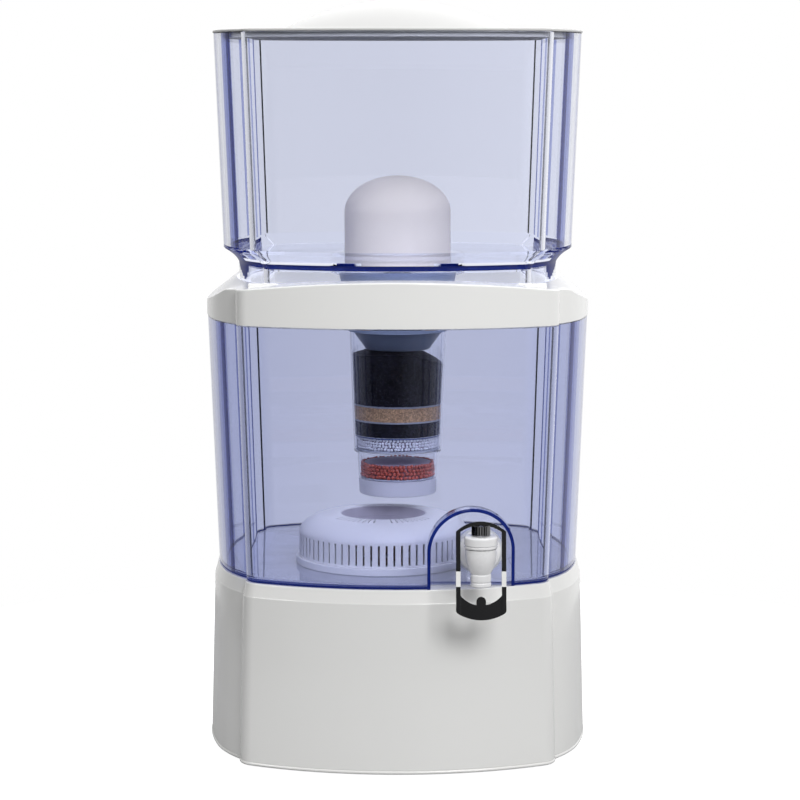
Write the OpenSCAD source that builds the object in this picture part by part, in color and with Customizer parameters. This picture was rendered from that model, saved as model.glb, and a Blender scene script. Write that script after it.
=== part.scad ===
// Gravity water filter with a push tap.
// An upper tank drains through a ceramic dome and a layered cartridge into a lower tank,
// which stands on a pedestal and empties through a lever tap.
// Drawn about the tanks' vertical axis, front towards -Y, then moved by body_y so that the
// origin is under the middle of the whole appliance, tap included.

/* [Plan outline] */
// Half width of the body across the collar
half_w = 160.5; // [152:0.5:172]
// Bow radius of the four faces
face_r = 273; // [240:1:400]
// Half length of the bowed front face
front_half = 120; // [112:1:124]
// Radius of the rounded front corner
corner_r = 17.5; // [12:0.5:22]
// How far the corner turns past square before it meets the crease
crease_turn = 12; // [5:1:20]
// Half length of the bowed side face
side_half = 69; // [55:1:78]
// Reach of the soft shoulder between side face and crease
shoulder_reach = 25; // [15:1:30]

/* [Base] */
// Height of the base shell
base_h = 149.5; // [120:0.5:180]
// Outward flare of the base at the floor, measured from the collar's half width
base_foot_in = 0.9; // [0:0.1:4]
// Inset of the ridge under the sloping lip
base_ridge_in = 4.8; // [4:0.1:8]
// Height of the sloping lip
base_lip_h = 11.5; // [8:0.5:16]
// Wall of the base shell
base_wall = 3; // [2:0.5:5]
// Width of the turned-in floor flange
base_flange = 30; // [26:1:40]

/* [Feet] */
// Radius of a rubber foot
foot_r = 8; // [6:0.5:9]
// Height of a rubber foot
foot_h = 2.6; // [2:0.1:3.4]
// How far a foot stands out of the base
foot_out = 1; // [0.5:0.1:1.5]
// Distance of each foot from the body's two centre planes
foot_place = 114; // [106:1:117]

/* [Lower tank] */
// Height of the lower tank
tank_h = 216.9; // [190:0.5:250]
// Inset of the lower tank's rim from the collar
tank_rim_in = 0.2; // [0.1:0.1:0.6]
// Inset of the lower tank's floor from the collar
tank_foot_in = 8.5; // [8.1:0.1:12]
// Wall of the lower tank
tank_wall = 4; // [3.5:0.1:5]
// Thickness of the lower tank's floor
tank_floor = 3; // [2.5:0.5:5]
// Radius of the tank's floor edge
tank_edge = 2.5; // [1.5:0.5:4]

/* [Tap niche] */
// Sideways place of the niche
niche_x = 59; // [56:0.5:62]
// Radius of the niche's arched top
niche_r = 32.6; // [30:0.2:35]
// Height of the niche above the tank's underside
niche_h = 62.5; // [60:0.5:68]
// Depth of the niche's flat back behind the foremost line of the body
niche_depth = 26; // [22:0.5:32]
// Inset of the niche's wall behind the tank's outer face
niche_inset = 0.4; // [0.3:0.1:0.8]

/* [Collar] */
// Overlap of the collar's skirt on the lower tank
collar_lap = 7; // [5:0.5:9]
// Thickness of the collar's skirt
collar_skirt = 2; // [1.5:0.1:2.2]
// Wall of the collar
collar_wall = 2.6; // [2:0.1:3.5]
// Height of the collar at its sides
collar_side_h = 13.1; // [12:0.1:16]
// Height of the collar at its front
collar_front_h = 36.8; // [35:0.1:42]
// Height of the lip around the neck at the sides
collar_lip_h = 30.6; // [28:0.1:33]
// Fall of the arched front edge from its middle to the crease
collar_arch = 8.4; // [4:0.1:9.5]
// Half width of the neck opening
neck_half = 134.4; // [130:0.2:138]
// Depth of the ledge below the lip
ledge_drop = 1.4; // [1:0.1:3]
// Width of the ledge that carries the upper tank
ledge_w = 8.6; // [7:0.2:12]
// Length of a locating lug
lug_l = 23.5; // [15:0.5:28]
// Thickness of a locating lug
lug_t = 5; // [3:0.5:6]
// Height of a locating lug above the lip
lug_h = 2.4; // [1.5:0.1:4]
// Distance of a lug from the centre plane to its inner end
lug_x = 96; // [90:1:98]

/* [Upper tank] */
// Height of the upper tank from its foot to its rim
upper_h = 203.4; // [170:0.2:240]
// Height of the straight neck below the cove
upper_neck_h = 14.4; // [12:0.2:16]
// Height of the cove between neck and wall
cove_h = 12.6; // [10:0.2:16]
// Outward step of the cove
cove_out = 12.9; // [9:0.1:15]
// Outward draft of the wall above the cove
upper_draft = 7.1; // [4:0.1:9]
// Wall of the upper tank
upper_wall = 3.5; // [2.5:0.1:4.5]
// Height of the floor's upper face above the tank's foot
upper_floor_h = 20.7; // [20:0.1:22]
// Thickness of the upper tank's floor
upper_floor = 2.7; // [2:0.1:4]
// Outer radius of the well that holds the dome
well_r = 56.5; // [54.5:0.5:62]
// Wall of the well
well_wall = 3; // [2:0.5:4]
// Depth of the well below the floor's upper face
well_depth = 8.3; // [6.5:0.1:9]
// Length of the well's ring below the floor's upper face
well_ring = 16.8; // [14:0.1:18]

/* [Lid] */
// Overhang of the lid around the upper tank's rim
lid_over = 0.6; // [0.2:0.1:3]
// Thickness of the lid's plate
lid_t = 2.2; // [1.8:0.1:4]
// Height of the lid's dome above its plate
lid_rise = 24.7; // [15:0.1:35]
// Radius of the lid's dome where it meets the plate
lid_dome_r = 98; // [80:1:110]
// Depth of the locating flange inside the tank
lid_flange_h = 6.5; // [4:0.5:12]

/* [Ceramic dome] */
// Radius of the ceramic dome
dome_r = 44.8; // [40:0.2:47]
// Height of the dome's straight side
dome_side_h = 37; // [20:0.5:50]
// Height of the dome's rounded top
dome_top_h = 30.7; // [24:0.1:40]
// Wall of the ceramic
dome_wall = 8; // [5:0.5:12]
// Thickness of the dome's base plate
plate_t = 3.2; // [2.5:0.1:4]
// Overhang of the base plate around the ceramic
plate_over = 4.7; // [3:0.1:5.5]
// Radius of the threaded stem
stem_r = 7.5; // [6:0.1:9]
// Radius of the stem's bore
stem_bore_r = 4; // [3:0.1:5]
// Thickness of the silicone gasket
gasket_t = 2; // [1.5:0.1:3]
// Radius of the gasket
gasket_r = 24; // [18:1:40]
// Radius of the lock nut
lock_r = 15; // [13:0.5:18]
// Height of the lock nut
lock_h = 8; // [6:0.5:9]

/* [Cartridge] */
// Radius of the cartridge cap's upper flange
cap_flange_r = 49.5; // [47:0.1:52]
// Height of the cap from its flange to its rim
cap_h = 54.2; // [48:0.2:60]
// Depth of the cap's dish
cap_dish = 11; // [9.5:0.5:13]
// Wall of the cap
cap_wall = 2.5; // [2:0.1:3]
// Radius of the housing under the cap
housing_r = 40.8; // [38:0.1:42]
// Draft of the housing from top to step
housing_draft = 3.7; // [2:0.1:5]
// Wall of the housing
housing_wall = 2; // [1.5:0.1:2.5]
// Height of the cone below the cap's rim
cone_h = 15.4; // [12:0.2:18]
// Radius of the cone's lower end
cone_r = 27; // [20:0.5:30]
// Clearance between the cartridge's end and the mineral case
case_gap = 11.2; // [9.5:0.2:20]
// Depth of the sand bed
sand_h = 11.8; // [8:0.2:16]
// Depth of the fine carbon bed
fine_h = 12; // [8:0.2:16]
// Depth of the white ball bed
white_h = 10.2; // [8:0.2:14]
// Thickness of a separator pad
pad_t = 1.3; // [1:0.1:2]
// Inward step of the housing below the white balls
step_in = 2.8; // [2.4:0.1:4]
// Height of the lower chamber
chamber_h = 23; // [19:0.5:28]
// Depth of the red ball bed
red_h = 13.8; // [10:0.2:16]
// Height of the end cup
cup_h = 13; // [10:0.5:16]

/* [Mineral case] */
// Sideways place of the mineral case on the tank floor
case_x = -12; // [-20:0.5:-5]
// Front to back place of the mineral case
case_y = -38; // [-42:0.5:-20]
// Radius of the case's slotted wall
case_r = 70.5; // [66:0.5:71]
// Width of the case's flange beyond its wall
case_flange_w = 2.5; // [1.5:0.1:3]
// Height of the case
case_h = 41; // [38:0.5:44]
// Height of the flange
case_flange_h = 6.2; // [5:0.2:7]
// Height of the slotted wall above the flange
case_side_h = 19.5; // [17:0.5:21]
// Radius of the dished middle
dish_r = 35.5; // [30:0.5:40]
// Depth of the dished middle
dish_h = 8; // [5:0.5:10]
// Wall of the case
case_wall = 2.5; // [2:0.1:3]
// Radius of a mineral stone
stone_r = 7; // [5:0.5:7.5]
// Number of slots around the wall
slot_count = 70; // [50:1:80]
// Width of a slot
slot_w = 1.7; // [1:0.1:2]
// Length of the short slots in front of the dished middle
short_slot = 12; // [5:1:13]

/* [Tap] */
// Sideways place of the tap
tap_x = 65.8; // [63:0.2:68]
// Reach of the spout's axis in front of the niche's back
tap_reach = 37.5; // [34:0.5:42]
// Height of the tap's shank above the tank's underside
shank_h = 29.5; // [26:0.5:33]
// Radius of the shank
shank_r = 8; // [7:0.1:9]
// Radius of the shank's waterway
shank_bore_r = 5; // [4:0.1:6]
// Radius of the outer flange
flange_r = 17; // [14:0.5:18]
// Thickness of the outer flange
flange_t = 3; // [2:0.1:4]
// Radius of the two washers
washer_r = 19; // [16:0.5:20]
// Thickness of a washer
washer_t = 2; // [1.5:0.1:3]
// Radius of the inner nut
nut_r = 18; // [15:0.5:19]
// Thickness of the inner nut
nut_t = 9; // [6:0.5:11]
// Largest radius of the tap's bulb
bulb_r = 12.3; // [11.8:0.1:13]
// Height of the bulb
bulb_h = 20; // [18:0.2:22]
// Radius of the nozzle
nozzle_r = 8.3; // [7.5:0.1:9]
// Length of the nozzle
nozzle_h = 10; // [8:0.2:12]
// Radius of the spout's bore
spout_r = 5; // [4:0.1:6]
// Radius of the bonnet
bonnet_r = 13.4; // [12.8:0.1:14]
// Height of the bonnet
bonnet_h = 9.5; // [8.5:0.1:11]
// Radius of the valve stem
rod_r = 2.3; // [2:0.1:2.6]
// Height of the shank's axis above the bulb's underside
shank_in = 12; // [11:0.2:13]
// Height of the hinge pin above the hub's underside
pin_h = 4.6; // [4:0.1:5]

/* [Lever] */
// Outer half width of the lever frame
lever_half = 19.8; // [19:0.1:22]
// Width of an arm
arm_w = 3.6; // [2.8:0.1:4]
// Depth of an arm
arm_t = 5; // [3:0.1:6]
// Length of the lever from its pin to its lower end
lever_l = 71; // [66:0.5:80]
// Forward tilt of the lever at rest
lever_tilt = 13; // [8:0.5:15]
// Radius of the hub over the bonnet
hub_r = 7.5; // [7.2:0.1:8.5]
// Height of the hub
hub_h = 11.2; // [10.5:0.1:12.5]
// Radius of the hinge pin
pin_r = 1.2; // [1:0.05:1.4]
// Height of the paddle's ends above its lowest point
paddle_h = 19.5; // [17:0.5:22]
// Dip of the paddle's upper edge
paddle_dip = 7.8; // [5:0.1:9]
// Half width of the tongue in the middle of the dip
tongue_half = 3.8; // [3:0.1:5]
// Thickness of the paddle
paddle_t = 2.4; // [1.8:0.1:3]
// Recess of the paddle behind the arms' front
paddle_in = 1; // [0.5:0.1:1.2]
// Fall of the paddle's bowed lower edge
paddle_bow = 6; // [2:0.5:7]

/* [Fits] */
// Radial clearance of a running or screwed fit
run_fit = 0.05; // [0.02:0.01:0.1]
// Clearance between curved faces of separate pieces
soft_gap = 0.3; // [0.2:0.05:0.4]
// Clearance between the lever's hub and the bonnet at rest
hub_gap = 0.2; // [0.15:0.05:0.4]

/* [Hidden] */
$fn = 64;
hair = 0.01;      // overlap of cutting tools
arc_steps = 8;    // steps along a bowed face
turn_steps = 6;   // steps around a corner or a cove

// Heights of the stack, from the floor up
base_z = foot_out;
tank_z = base_z + base_h;
rim_z = tank_z + tank_h;
collar_z = rim_z - collar_lap;
lip_z = collar_z + collar_lip_h;
upper_z = lip_z - ledge_drop;
upper_floor_z = upper_z + upper_floor_h;
upper_rim_z = upper_z + upper_h;
well_z = upper_floor_z - well_depth;
well_under_z = well_z - well_wall;

// Half widths of the plan outline at each level
skirt_fit = 1;
skirt_half = neck_half - skirt_fit;
cove_half = skirt_half + cove_out;
upper_rim_half = cove_half + upper_draft;
tank_rim_half = half_w - tank_rim_in;
tank_foot_half = half_w - tank_foot_in;

// Tap frame
niche_y = -(half_w - niche_depth);
tap_y = niche_y - tap_reach;
shank_z = tank_z + shank_h;
bulb_z = shank_z - shank_in;
bonnet_z = bulb_z + bulb_h + 0.7;
bonnet_top_z = bonnet_z + bonnet_h;
hub_z = bonnet_top_z + hub_gap;
pin_z = hub_z + pin_h;
rod_top = 2.8;    // stem above the pin's axis
hub_wall = 1.8;
valve_floor = 5;  // thickness of the seat's land in the bulb
seat_z = bulb_z + valve_floor;
seat_h = 6;
seat_lip = 2;     // height of the seat's disc

// Foremost point of the tilted lever, where its arms end, which sets the frame's origin
inner_half = lever_half - arm_w;
paddle_r = (lever_half * lever_half + paddle_bow * paddle_bow) / (2 * paddle_bow);
arm_end = paddle_r - sqrt(paddle_r * paddle_r - inner_half * inner_half);
lever_front = -tap_y + (lever_l - arm_end) * sin(lever_tilt) + arm_t / 2 * cos(lever_tilt);
body_y = (lever_front - half_w) / 2;

// ---- Plan outline -------------------------------------------------------------------------

function bowed(d) = sqrt(face_r * face_r - d * d) - (face_r - half_w);
function quad(a, b, c, t) = (1 - t) * (1 - t) * a + 2 * t * (1 - t) * b + t * t * c;

corner_turn = acos(front_half / face_r);
corner_mid = [front_half, bowed(front_half)] - corner_r * [cos(corner_turn), sin(corner_turn)];
crease = corner_mid + corner_r * [cos(-crease_turn), sin(-crease_turn)];
side_turn = asin(side_half / face_r);
side_end = [bowed(side_half), side_half];
shoulder = side_end + shoulder_reach * [-sin(side_turn), cos(side_turn)];

quarter = concat(
    [for (i = [0 : arc_steps - 2]) let (d = side_half * i / (arc_steps - 1)) [bowed(d), d]],
    [for (i = [0 : turn_steps]) quad(side_end, shoulder, crease, i / turn_steps)],
    [for (i = [1 : turn_steps]) let (a = -crease_turn + (corner_turn + crease_turn) * i / turn_steps)
        corner_mid + corner_r * [cos(a), sin(a)]],
    [for (i = [1 : arc_steps]) let (x = front_half * (1 - i / arc_steps)) [x, bowed(x)]]);

last = len(quarter) - 1;
outline = concat(
    quarter,
    [for (i = [last - 1 : -1 : 0]) [-quarter[i][0], quarter[i][1]]],
    [for (i = [1 : last]) [-quarter[i][0], -quarter[i][1]]],
    [for (i = [last - 1 : -1 : 1]) [quarter[i][0], -quarter[i][1]]]) / half_w;
ring_n = len(outline);

// One ring of the outline: half width h at height z
function ring(h, z) = [for (p = outline) [p[0] * h, p[1] * h, z]];

// Skin through a list of rings. A cup starts at its underside and ends at its inner floor;
// a closed band joins its last ring to its first.
module skin(rings, closed = false) {
    count = len(rings);
    bands = closed ? count : count - 1;
    sides = [for (k = [0 : bands - 1], i = [0 : ring_n - 1])
        let (j = (i + 1) % ring_n, m = (k + 1) % count)
        [k * ring_n + i, m * ring_n + i, m * ring_n + j, k * ring_n + j]];
    caps = closed ? [] : [
        [for (i = [0 : ring_n - 1]) i],
        [for (i = [ring_n - 1 : -1 : 0]) (count - 1) * ring_n + i]];
    polyhedron(points = [for (r = rings, p = r) p], faces = concat(sides, caps), convexity = 8);
}

// Profile of a plain ring: radii r0 to r1, heights z0 to z1
module tube(r0, r1, z0, z1) {
    translate([0, 0, z0]) difference() {
        cylinder(r = r1, h = z1 - z0);
        translate([0, 0, -hair]) cylinder(r = r0, h = z1 - z0 + 2 * hair);
    }
}

module at_body() { translate([0, body_y, 0]) children(); }
module at_case() { translate([case_x, case_y + body_y, tank_z + tank_floor]) children(); }
module at_tap() { translate([tap_x, tap_y + body_y, 0]) children(); }

// ---- Base ---------------------------------------------------------------------------------

base_foot_half = half_w - base_foot_in;
base_ridge_half = half_w - base_ridge_in;
base_lip_half = tank_foot_half + 0.8;
base_edge = 1.2;
deck_t = base_wall;

module feet_at(z) {
    for (x = [-1, 1], y = [-1, 1]) translate([x * foot_place, y * foot_place, z]) children();
}

module base() color("#d8d8d6") at_body() difference() {
    skin([
        ring(base_lip_half - base_wall, tank_z - deck_t),
        ring(base_ridge_half - base_wall, tank_z - base_lip_h - base_edge),
        ring(base_foot_half - base_wall, base_z + base_wall + base_edge),
        ring(base_foot_half - base_flange, base_z + base_wall + base_edge),
        ring(base_foot_half - base_flange, base_z),
        ring(base_foot_half - base_edge, base_z),
        ring(base_foot_half, base_z + base_edge),
        ring(base_ridge_half, tank_z - base_lip_h),
        ring(base_ridge_half - base_edge / 2, tank_z - base_lip_h + base_edge),
        ring(base_lip_half, tank_z - base_edge / 2),
        ring(base_lip_half - base_edge / 2, tank_z)]);
    feet_at(base_z - hair) cylinder(r = foot_r + run_fit, h = foot_h - foot_out + hair);
}

module rubber_feet() color("#3a3a3c") at_body() feet_at(0) cylinder(r = foot_r, h = foot_h);

// ---- Lower tank ---------------------------------------------------------------------------

rabbet_half = half_w - collar_skirt - soft_gap;
function tank_half(z) = tank_foot_half + (tank_rim_half - tank_foot_half) * (z - tank_z) / tank_h;
tank_shoulder_z = collar_z - 0.4;

// Arch of the niche seen from the front, grown by g
module arch(g) {
    translate([niche_x, tank_z + niche_h - niche_r]) circle(r = niche_r + g);
    translate([niche_x - niche_r - g, tank_z - 5]) square([2 * (niche_r + g), niche_h - niche_r + 5]);
}
module arch_block(g, y0, y1) {
    translate([0, y1, 0]) rotate([90, 0, 0]) linear_extrude(height = y1 - y0) arch(g);
}

module lower_tank() color([0.62, 0.66, 0.86, 0.4]) at_body() difference() {
    union() {
        skin([
            ring(tank_foot_half - tank_edge, tank_z),
            ring(tank_foot_half - tank_edge * 0.3, tank_z + tank_edge * 0.3),
            ring(tank_half(tank_z + tank_edge), tank_z + tank_edge),
            ring(tank_half(tank_shoulder_z), tank_shoulder_z),
            ring(rabbet_half, tank_shoulder_z),
            ring(rabbet_half, rim_z),
            ring(tank_rim_half - tank_wall, rim_z),
            ring(tank_half(tank_z + tank_floor + tank_edge) - tank_wall, tank_z + tank_floor + tank_edge),
            ring(tank_foot_half - tank_wall - tank_edge, tank_z + tank_floor)]);
        intersection() {
            arch_block(tank_wall, -half_w, niche_y + tank_wall);
            skin([
                ring(tank_foot_half - tank_edge - niche_inset, tank_z),
                ring(tank_foot_half - niche_inset, tank_z + tank_edge),
                ring(tank_half(tank_shoulder_z) - niche_inset, tank_shoulder_z)]);
        }
    }
    arch_block(0, -half_w - 5, niche_y);
    translate([tap_x, niche_y - 1, shank_z]) rotate([-90, 0, 0])
        cylinder(r = shank_r + soft_gap, h = tank_wall + 2);
}

// ---- Collar -------------------------------------------------------------------------------

// Height of the collar's arched top and sloping side roofs at x, measured from its lower edge
function arched(x) = collar_front_h - collar_arch * pow(x / crease[0], 2);
roof_slope = (collar_lip_h - collar_side_h) / (half_w - neck_half);
function roofed(x) = collar_side_h + (half_w - abs(x)) * roof_slope;
function crown(h, drop) = [for (p = outline) let (x = p[0] * half_w)
    [p[0] * h, p[1] * h, collar_z + min(arched(x), roofed(x)) - drop]];
function lip(h, drop) = [for (p = outline) let (x = p[0] * neck_half)
    [p[0] * h, p[1] * h, collar_z + max(arched(x), collar_lip_h) - drop]];
collar_edge = 1.2;
rim_rest = 0.2;

module collar() color("#e6e6e4") at_body() {
    inner = rabbet_half + soft_gap;
    ledge_z = upper_z;
    union() {
        skin([
            ring(half_w, collar_z),
            crown(half_w, collar_edge),
            crown(half_w - collar_edge, 0),
            lip(neck_half + collar_edge, 0),
            lip(neck_half, collar_edge),
            ring(neck_half, ledge_z),
            ring(neck_half - ledge_w, ledge_z),
            ring(neck_half - ledge_w, ledge_z - collar_wall),
            ring(neck_half + collar_wall, ledge_z - collar_wall - 0.6),
            crown(half_w - collar_wall - 1.6, collar_wall + 1.4),
            ring(inner - 2.5, rim_z + rim_rest),
            ring(inner, rim_z + rim_rest),
            ring(inner, collar_z)], closed = true);
        for (s = [-1, 1])
            translate([s * (lug_x + lug_l / 2), -neck_half * 0.85 - lug_t / 2, lip_z - 1.5 + lug_h / 2])
                cube([lug_l, lug_t, lug_h + 3], center = true);
    }
}

// ---- Upper tank ---------------------------------------------------------------------------

cove_z = upper_z + upper_neck_h;
wall_z = cove_z + cove_h;
module upper_tank() color([0.76, 0.78, 0.92, 0.4]) at_body() {
    inner_cove = [for (i = [turn_steps : -1 : 1]) let (a = 90 * i / turn_steps)
        ring(skirt_half - upper_wall - 1 + (cove_out + 1) * sin(a),
             upper_floor_z + (wall_z - upper_floor_z + 1) * (1 - cos(a)))];
    difference() {
        union() {
            skin(concat([
                ring(skirt_half - upper_wall, upper_floor_z - upper_floor),
                ring(skirt_half - upper_wall, upper_z + 0.8),
                ring(skirt_half - upper_wall + 0.8, upper_z),
                ring(skirt_half - 0.8, upper_z),
                ring(skirt_half, upper_z + 0.8)],
                [for (i = [0 : turn_steps]) let (a = 90 * i / turn_steps)
                    ring(skirt_half + (cove_out - 1) * (1 - cos(a)), cove_z + (cove_h - 1) * sin(a))],
                [ring(cove_half, wall_z),
                ring(upper_rim_half, upper_rim_z),
                ring(upper_rim_half - upper_wall, upper_rim_z)],
                inner_cove,
                [ring(skirt_half - upper_wall - 3, upper_floor_z)]));
            translate([0, 0, upper_floor_z - well_ring])
                cylinder(r = well_r, h = well_ring - upper_floor / 2);
        }
        translate([0, 0, well_z]) cylinder(r = well_r - well_wall, h = well_depth + 1);
        translate([0, 0, upper_floor_z - well_ring - 1])
            cylinder(r = well_r - well_wall, h = well_ring - well_depth - well_wall + 1);
        translate([0, 0, well_under_z - 1]) cylinder(r = stem_r + soft_gap, h = well_wall + 2);
    }
}

// ---- Lid ----------------------------------------------------------------------------------

lid_z = upper_rim_z + 0.1;
lid_half = upper_rim_half + lid_over;
lid_flange_half = upper_rim_half - upper_wall - 1;
lid_ball_r = (lid_dome_r * lid_dome_r + lid_rise * lid_rise) / (2 * lid_rise);
lid_ball_z = lid_z + lid_t + lid_rise - lid_ball_r;
lid_turn = asin(lid_dome_r / lid_ball_r);
dome_steps = [0.25, 1, 2, 3, 4, 5, 6];

// Round ring on the lid's dome at step k of six, lowered by drop
function dome_ring(k, drop) = let (a = lid_turn * k / 6)
    [for (p = outline) concat(p / norm(p) * lid_ball_r * sin(a), lid_ball_z + lid_ball_r * cos(a) - drop)];

module lid() color("#f3f3f2") at_body() skin(concat(
    [for (k = dome_steps) dome_ring(k, lid_t)],
    [ring(lid_flange_half - lid_t, lid_z),
     ring(lid_flange_half - lid_t, lid_z - lid_flange_h),
     ring(lid_flange_half, lid_z - lid_flange_h),
     ring(lid_flange_half, lid_z),
     ring(lid_half - 0.8, lid_z),
     ring(lid_half, lid_z + 0.6),
     ring(lid_half, lid_z + lid_t - 0.8),
     ring(lid_half - 1.2, lid_z + lid_t)],
    [for (i = [len(dome_steps) - 1 : -1 : 0]) dome_ring(dome_steps[i], 0)]));

// ---- Ceramic dome and what fixes it -------------------------------------------------------

plate_z = well_z + gasket_t;
dome_z = plate_z + plate_t;
dome_base_r = dome_r + plate_over;
stem_l = 25;      // thread below the well
stem_end_z = well_under_z - stem_l;

function dome_line(r, side, top) = concat([[0, 0], [r, 0], [r, side]],
    [for (i = [1 : 12]) let (a = 90 * i / 12) [r * cos(a), side + top * sin(a)]]);

module ceramic_dome() color("#efece6") at_body() translate([0, 0, dome_z]) rotate_extrude() difference() {
    polygon(dome_line(dome_r, dome_side_h, dome_top_h));
    translate([0, -hair]) polygon(dome_line(dome_r - dome_wall, dome_side_h, dome_top_h - dome_wall));
}

module dome_plate() color("#f2f2f0") at_body() difference() {
    union() {
        translate([0, 0, plate_z]) cylinder(r = dome_base_r, h = plate_t * 0.5);
        translate([0, 0, plate_z + plate_t * 0.5])
            cylinder(r1 = dome_base_r, r2 = dome_r + 0.6, h = plate_t * 0.5);
        translate([0, 0, stem_end_z]) cylinder(r = stem_r, h = plate_z - stem_end_z + hair);
    }
    translate([0, 0, stem_end_z - 1]) cylinder(r = stem_bore_r, h = dome_z - stem_end_z + 2);
}

module dome_gasket() color("#c9ccd2") at_body() tube(stem_r + run_fit, gasket_r, well_z, plate_z);

module dome_lock_nut() color("#dfe2e6") at_body() difference() {
    translate([0, 0, well_under_z - lock_h]) union() {
        cylinder(r = lock_r, h = lock_h, $fn = 6);
        translate([0, 0, lock_h - 2]) cylinder(r = lock_r, h = 2);
    }
    translate([0, 0, well_under_z - lock_h - 1]) cylinder(r = stem_r + run_fit, h = lock_h + 2);
}

// ---- Cartridge ----------------------------------------------------------------------------

cap_gap = 0.5;
cap_top_z = well_under_z - cap_gap;
cap_rim_z = cap_top_z - cap_h;
cap_rim_r = housing_r + 1.5;
bed_r = housing_r - housing_wall - soft_gap;
boss_r = stem_r + 4;
cone_z = cap_rim_z - cone_h;
dish_z = cap_top_z - cap_dish;
seat_w = housing_wall + soft_gap;

module cartridge_cap() color("#56688c") at_body() rotate_extrude() difference() {
    polygon([[0, cap_top_z], [cap_flange_r, cap_top_z], [cap_flange_r, cap_top_z - 6],
             [cap_rim_r, cap_top_z - cap_h * 0.75], [cap_rim_r, cap_rim_z],
             [housing_r - seat_w, cap_rim_z], [housing_r - seat_w - 1, cap_rim_z - 1],
             [cone_r, cone_z], [0, cone_z]]);
    difference() {
        translate([0, dish_z]) square([cap_flange_r - cap_wall, cap_dish + 1]);
        square([boss_r, dish_z + 1]);
    }
    polygon([[0, dish_z - cap_wall], [cap_rim_r - cap_wall, dish_z - cap_wall],
             [cap_rim_r - cap_wall - seat_w, cap_rim_z + 2], [cone_r - cap_wall, cone_z + cap_wall],
             [0, cone_z + cap_wall]]);
    translate([0, dish_z - cap_wall - 1]) square([stem_r + run_fit, cap_h]);
    translate([0, cone_z - 1]) square([stem_bore_r, cap_wall + 2]);
}

// The coarse carbon takes up what the other beds leave above the mineral case
layers_h = 4 * pad_t + sand_h + fine_h + white_h + housing_wall + chamber_h + cup_h;
carbon_z = tank_z + tank_floor + case_h + case_gap + layers_h;
pad1_z = carbon_z - pad_t;
sand_z = pad1_z - sand_h;
pad2_z = sand_z - pad_t;
fine_z = pad2_z - fine_h;
pad3_z = fine_z - pad_t;
white_z = pad3_z - white_h;
pad4_z = white_z - pad_t;
step_z = pad4_z - housing_wall;
chamber_z = step_z - chamber_h;
pad5_z = chamber_z + 0.2;
red_z = pad5_z + pad_t;
cup_z = chamber_z - cup_h;
step_r = housing_r - housing_draft;
chamber_r = step_r - step_in;
chamber_draft = 1;

function housing_at(z) = step_r + housing_draft * (z - step_z) / (cap_rim_z - step_z);
function bed_at(z) = housing_at(z) - housing_wall - soft_gap;

module cartridge_housing() color([0.9, 0.92, 0.96, 0.35]) at_body() rotate_extrude() difference() {
    polygon([[0, cap_rim_z], [housing_r, cap_rim_z], [step_r, step_z], [chamber_r, step_z],
             [chamber_r - chamber_draft, chamber_z], [0, chamber_z]]);
    polygon([[0, cap_rim_z + 1], [housing_r - housing_wall, cap_rim_z + 1],
             [step_r - housing_wall, pad4_z], [chamber_r - housing_wall, pad4_z],
             [chamber_r - chamber_draft - housing_wall, chamber_z - 1], [0, chamber_z - 1]]);
}

// Drafted bed that fills the housing from z0 to z1
module bed(z0, z1) {
    translate([0, 0, z0]) cylinder(r1 = bed_at(z0), r2 = bed_at(z1), h = z1 - z0);
}

module carbon_bed() color("#1c1d22") at_body() difference() {
    bed(carbon_z, cone_z);
    translate([0, 0, cone_z - 5]) difference() {
        cylinder(r = housing_r + 5, h = 6);
        cylinder(r1 = housing_r - 0.5, r2 = cone_r, h = 6.2);
    }
}
module sand_bed() color("#6b5138") at_body() bed(sand_z, pad1_z);
module fine_carbon_bed() color("#1a1c24") at_body() bed(fine_z, pad2_z);
module white_ball_bed() color("#d9d9dd") at_body() bed(white_z, pad3_z);
module red_ball_bed() color("#7e3a36") at_body() translate([0, 0, red_z])
    cylinder(r = chamber_r - chamber_draft - housing_wall - soft_gap, h = red_h);

module separator_pads() color("#c6c9d4") at_body() {
    bed(pad1_z, carbon_z);
    bed(pad2_z, sand_z);
    bed(pad3_z, fine_z);
    bed(pad4_z, white_z);
    translate([0, 0, pad5_z])
        cylinder(r = chamber_r - chamber_draft - housing_wall - soft_gap, h = pad_t);
}

module cartridge_end_cup() color("#dcdde6") at_body() difference() {
    translate([0, 0, cup_z]) cylinder(r1 = chamber_r - chamber_draft - 0.8,
        r2 = chamber_r - chamber_draft, h = cup_h);
    translate([0, 0, cup_z + 1.5]) cylinder(r = chamber_r - chamber_draft - housing_wall - 0.6, h = cup_h);
    for (a = [0 : 60 : 300]) rotate(a) translate([18, 0, cup_z - 1]) cylinder(r = 3, h = 4);
}

// ---- Mineral case -------------------------------------------------------------------------

case_shoulder_z = case_flange_h + case_side_h;
case_flange_r = case_r + case_flange_w;
case_shelf = 4;   // width of the shelf that carries the slotted wall
function shoulder_line(r, top) = [for (i = [0 : 10]) let (a = 90 * i / 10)
    [dish_r + 2 + (r - dish_r - 2) * cos(a), case_shoulder_z + (top - case_shoulder_z) * sin(a)]];

module mineral_case_base() color("#cfd2dc") at_case() difference() {
    union() {
        translate([0, 0, soft_gap]) cylinder(r = case_flange_r, h = case_flange_h - soft_gap);
        cylinder(r = case_flange_r - 6, h = case_flange_h);
    }
    translate([0, 0, case_wall]) cylinder(r = case_r - case_shelf, h = case_flange_h);
}

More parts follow.
